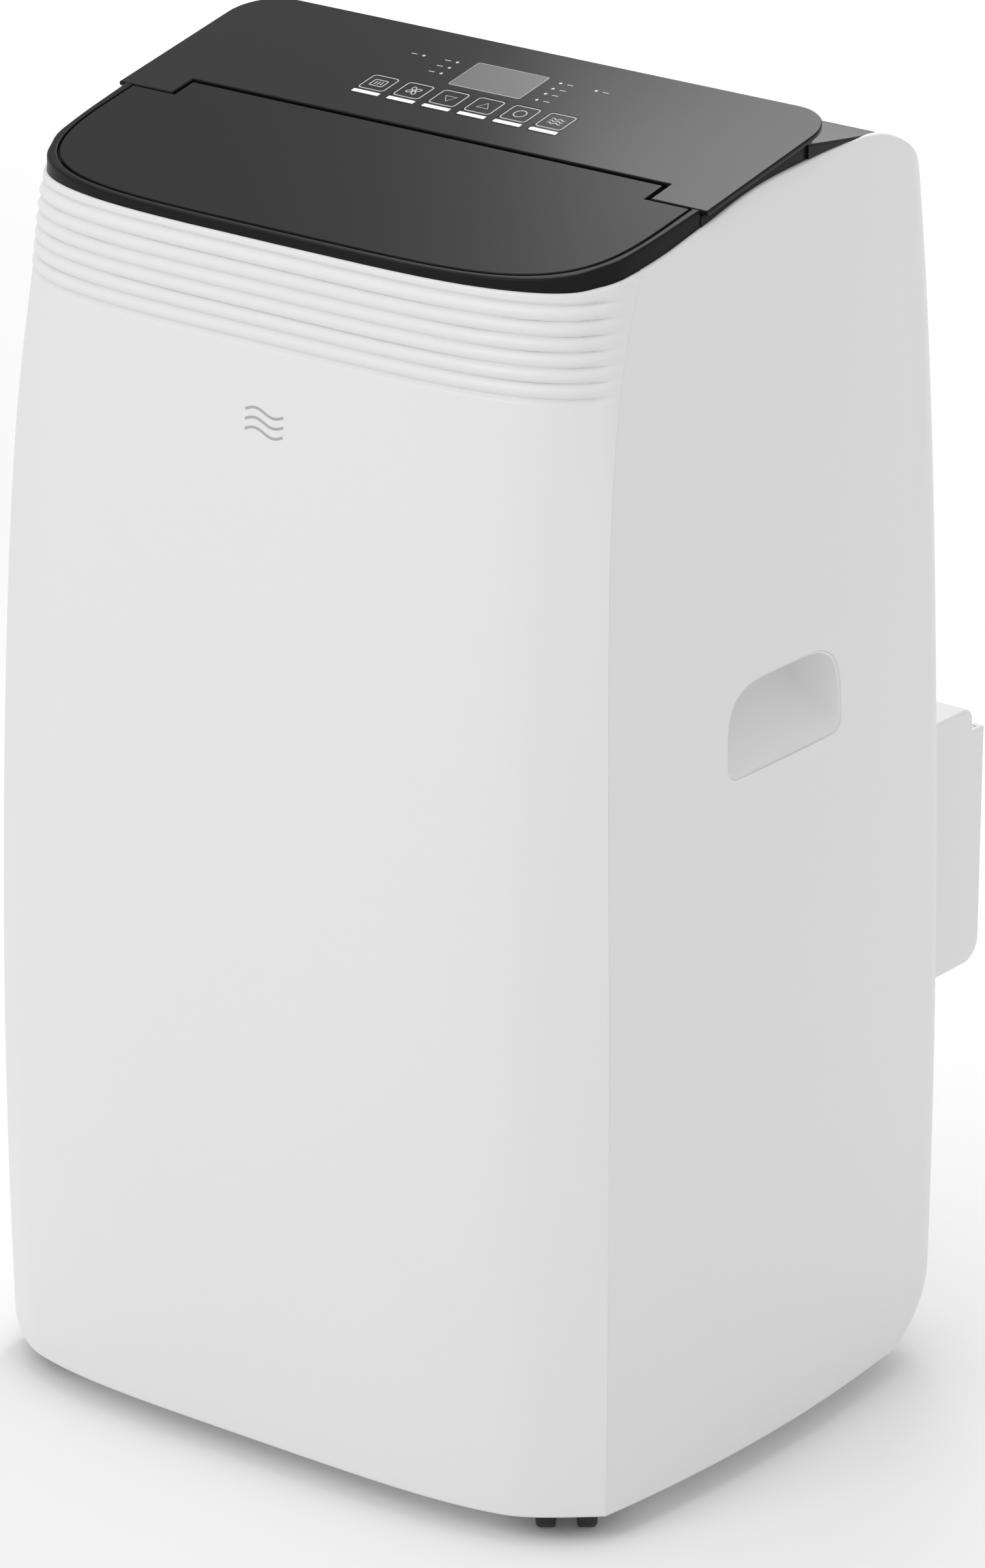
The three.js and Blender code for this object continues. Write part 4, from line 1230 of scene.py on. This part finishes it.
# ---------------------------------------------------------------- base, casters and works
def wheel_rows(side):
    """Tread, shoulder, dished face and hub cap of one wheel, from its inner to its outer face."""
    r = WHEEL_R
    rows = [(5.4, 8.0), (5.5, 8.4), (6.0, r - 1.0), (6.9, r), (14.8, r), (16.2, r - 0.7), (16.9, r - 1.8)]
    rows += [(17.0, r - 2.6), (16.9, r - 3.4), (15.6, r - 4.2), (15.4, 5.2)]
    rows += [(16.4, 4.6), (16.8, 3.4), (16.8, 0.1)]
    return [(side * t, radius) for t, radius in rows]


def build_casters():
    for tag, (x, y) in CASTERS.items():
        refined(f"caster_fork_{tag}", 0.6, f"fork_{tag}", "caster_black")
        axle_at = (-TRAIL, WHEEL_R)
        left, right = [turned("wheel", "x", axle_at, wheel_rows(side), 56) for side in (-1, 1)]
        axle = turned("axle", "x", axle_at, [(-8, 2.8), (8, 2.8)], 24)
        pair = boolean(left, [right, axle], "UNION")
        pair.data.transform(
            Matrix.Translation(point(x, y, 0))
            @ Matrix.Rotation(math.radians(CASTER_TURN), 4, "Z")
            @ Matrix.Translation((0, -ORIGIN_Y * 0.001, 0))
        )
        pair.name = f"twin_wheel_{tag}"
        dress(pair, f"wheels_{tag}", "caster_black", f"caster_wheels_{tag}")


def build_works():
    """Inner parts keep their own form, with edges rounded as moulded or pressed parts are."""
    for node, width, body, slot in (
        ("base_tray", 0.8, "casing", "casing_white"),
        ("mid_deck", 0.8, "casing", "foam_grey"),
        ("control_board", 0.2, "casing", "board_green"),
        ("flap_motor", 0.6, "casing", "steel"),
        ("evaporator_coil", 0.4, "casing", "coil_aluminium"),
        ("condenser_coil", 0.4, "casing", "coil_aluminium"),
        ("evaporator_fan", 0.5, "evap_fan", "duct_black"),
        ("condenser_fan", 0.5, "cond_fan", "duct_black"),
        ("evaporator_scroll", 0.9, "casing", "foam_grey"),
        ("condenser_scroll", 0.9, "casing", "foam_grey"),
        ("evaporator_motor", 1.2, "casing", "steel"),
        ("condenser_motor", 1.2, "casing", "steel"),
        ("compressor", 2.0, "casing", "compressor_black"),
        ("accumulator", 1.0, "casing", "compressor_black"),
        ("slinger_wheel", 0.4, "slinger", "duct_black"),
        ("slinger_motor", 0.8, "casing", "steel"),
        ("electrical_box", 0.9, "casing", "foam_grey"),
        ("upper_drain_plug", 0.7, "plug_upper", "rubber"),
        ("lower_drain_plug", 0.7, "plug_lower", "rubber"),
        ("cord_gland", 0.7, "casing", "rubber"),
    ):
        refined(node, width, body, slot)


def build_mark():
    """Three short air-wave strokes, set into the front as a plain generic mark."""

    def place(x, z, w):
        px, py = front_at(x / section(z)[1], z, -w)
        return (px, py, z)

    for n, row in enumerate((-5.5, 0, 5.5)):
        line = [(-13 + 26 * i / 24, 610 + row + 1.9 * math.sin(i / 24 * 2 * math.pi)) for i in range(25)]
        wave = ribbon(line, 1.5, False, -0.15, 0.06, place)
        wave.name = f"air_wave_{n + 1}"
        dress(wave, "casing", "casing_white", material=MARK_GREY)


# ---------------------------------------------------------------- stage, lights and camera
def build_stage():
    """Pale paper floor with a painted glow: faint near the casing, it grows a little brighter into the
    distance.
    """
    mesh = bpy.data.meshes.new("floor")
    s = 30.0
    mesh.from_pydata([(-s, -s, 0), (s, -s, 0), (s, s, 0), (-s, s, 0)], [], [(0, 1, 2, 3)])
    floor = bpy.data.objects.new("floor", mesh)
    bpy.context.scene.collection.objects.link(floor)
    mat, nodes, links, shader = new_material("glowing_paper_floor")
    place = put(nodes, "TexCoord").outputs["Object"]
    noise = put(nodes, "TexNoise", Scale=1.5)
    links.new(place, noise.inputs["Vector"])
    tones = [[0.90] * 3, [0.92] * 3]
    blend(nodes, links, noise.outputs["Fac"], *tones, shader.inputs["Base Color"])
    shader.inputs["Roughness"].default_value = 0.9
    # painted light: the floor glows weakly under and around the casing, so its shadow stays dark, and more
    # strongly further back, standing in for light falling on the floor
    shader.inputs["Emission Color"].default_value = (1, 1, 1, 1)
    split = put(nodes, "SeparateXYZ")
    links.new(place, split.inputs["Vector"])
    far = put(nodes, "MapRange", From_Min=0.2, From_Max=2.6, To_Min=0.05, To_Max=0.42)
    links.new(split.outputs["Y"], far.inputs["Value"])
    links.new(far.outputs["Result"], shader.inputs["Emission Strength"])
    floor.data.materials.append(mat)


def area(name, position, target, size, power):
    data = bpy.data.lights.new(name, "AREA")
    data.shape = "RECTANGLE"
    data.size, data.size_y = size
    data.energy = power
    obj = bpy.data.objects.new(name, data)
    obj.location = position
    obj.rotation_euler = (Vector(position) - Vector(target)).to_track_quat("Z", "Y").to_euler()
    bpy.context.scene.collection.objects.link(obj)
    obj.visible_camera = False


def build_lights():
    world = bpy.data.worlds.new("studio")
    world.use_nodes = True
    background = world.node_tree.nodes["Background"]
    background.inputs["Color"].default_value = (1, 1, 1, 1)
    background.inputs["Strength"].default_value = 0.71
    bpy.context.scene.world = world
    middle = (0, 0, 0.4)
    area("top_soft", (-0.4, -0.5, 3.0), middle, (2.6, 2.6), 12)
    area("front_soft", (-0.2, -2.3, 2.3), (0, 0, 0.5), (1.5, 1.2), 15.5)
    area("panel_sheen", (-0.28, 0.62, 1.50), (0.10, 0.0, 0.75), (0.50, 0.45), 3.0)
    area("shelf_sheen", (-0.42, 0.95, 1.12), (0.14, 0.07, 0.74), (0.40, 0.24), 2.4)


def build_camera():
    azimuth = math.radians(CAMERA_AZIMUTH)
    elevation = math.radians(CAMERA_ELEVATION)
    level = math.cos(elevation)
    back = Vector((math.sin(azimuth) * level, -math.cos(azimuth) * level, math.sin(elevation)))
    data = bpy.data.cameras.new("camera")
    data.sensor_width = 36
    data.sensor_fit = "AUTO"
    data.lens = CAMERA_LENS
    camera = bpy.data.objects.new("camera", data)
    target = Vector((0, ORIGIN_Y * 0.001, CAMERA_TARGET_Z))
    base = back.to_track_quat("Z", "Y").to_matrix().to_4x4()
    pan = Matrix.Rotation(math.radians(CAMERA_PAN), 4, "Y")
    tip = Matrix.Rotation(math.radians(CAMERA_TIP), 4, "X")
    camera.matrix_world = Matrix.Translation(target + back * CAMERA_DISTANCE) @ base @ pan @ tip
    bpy.context.scene.collection.objects.link(camera)
    bpy.context.scene.camera = camera


build_casing()
build_rim()
build_block()
build_shelf()
build_well()
build_panel()
build_keys()
build_flap()
build_duct()
build_housing()
build_adapter()
build_grille(UPPER, "upper")
build_grille(LOWER, "lower")
build_screws()
build_casters()
build_works()
build_mark()
build_stage()
build_lights()
build_camera()
bpy.context.scene.view_settings.view_transform = "Standard"
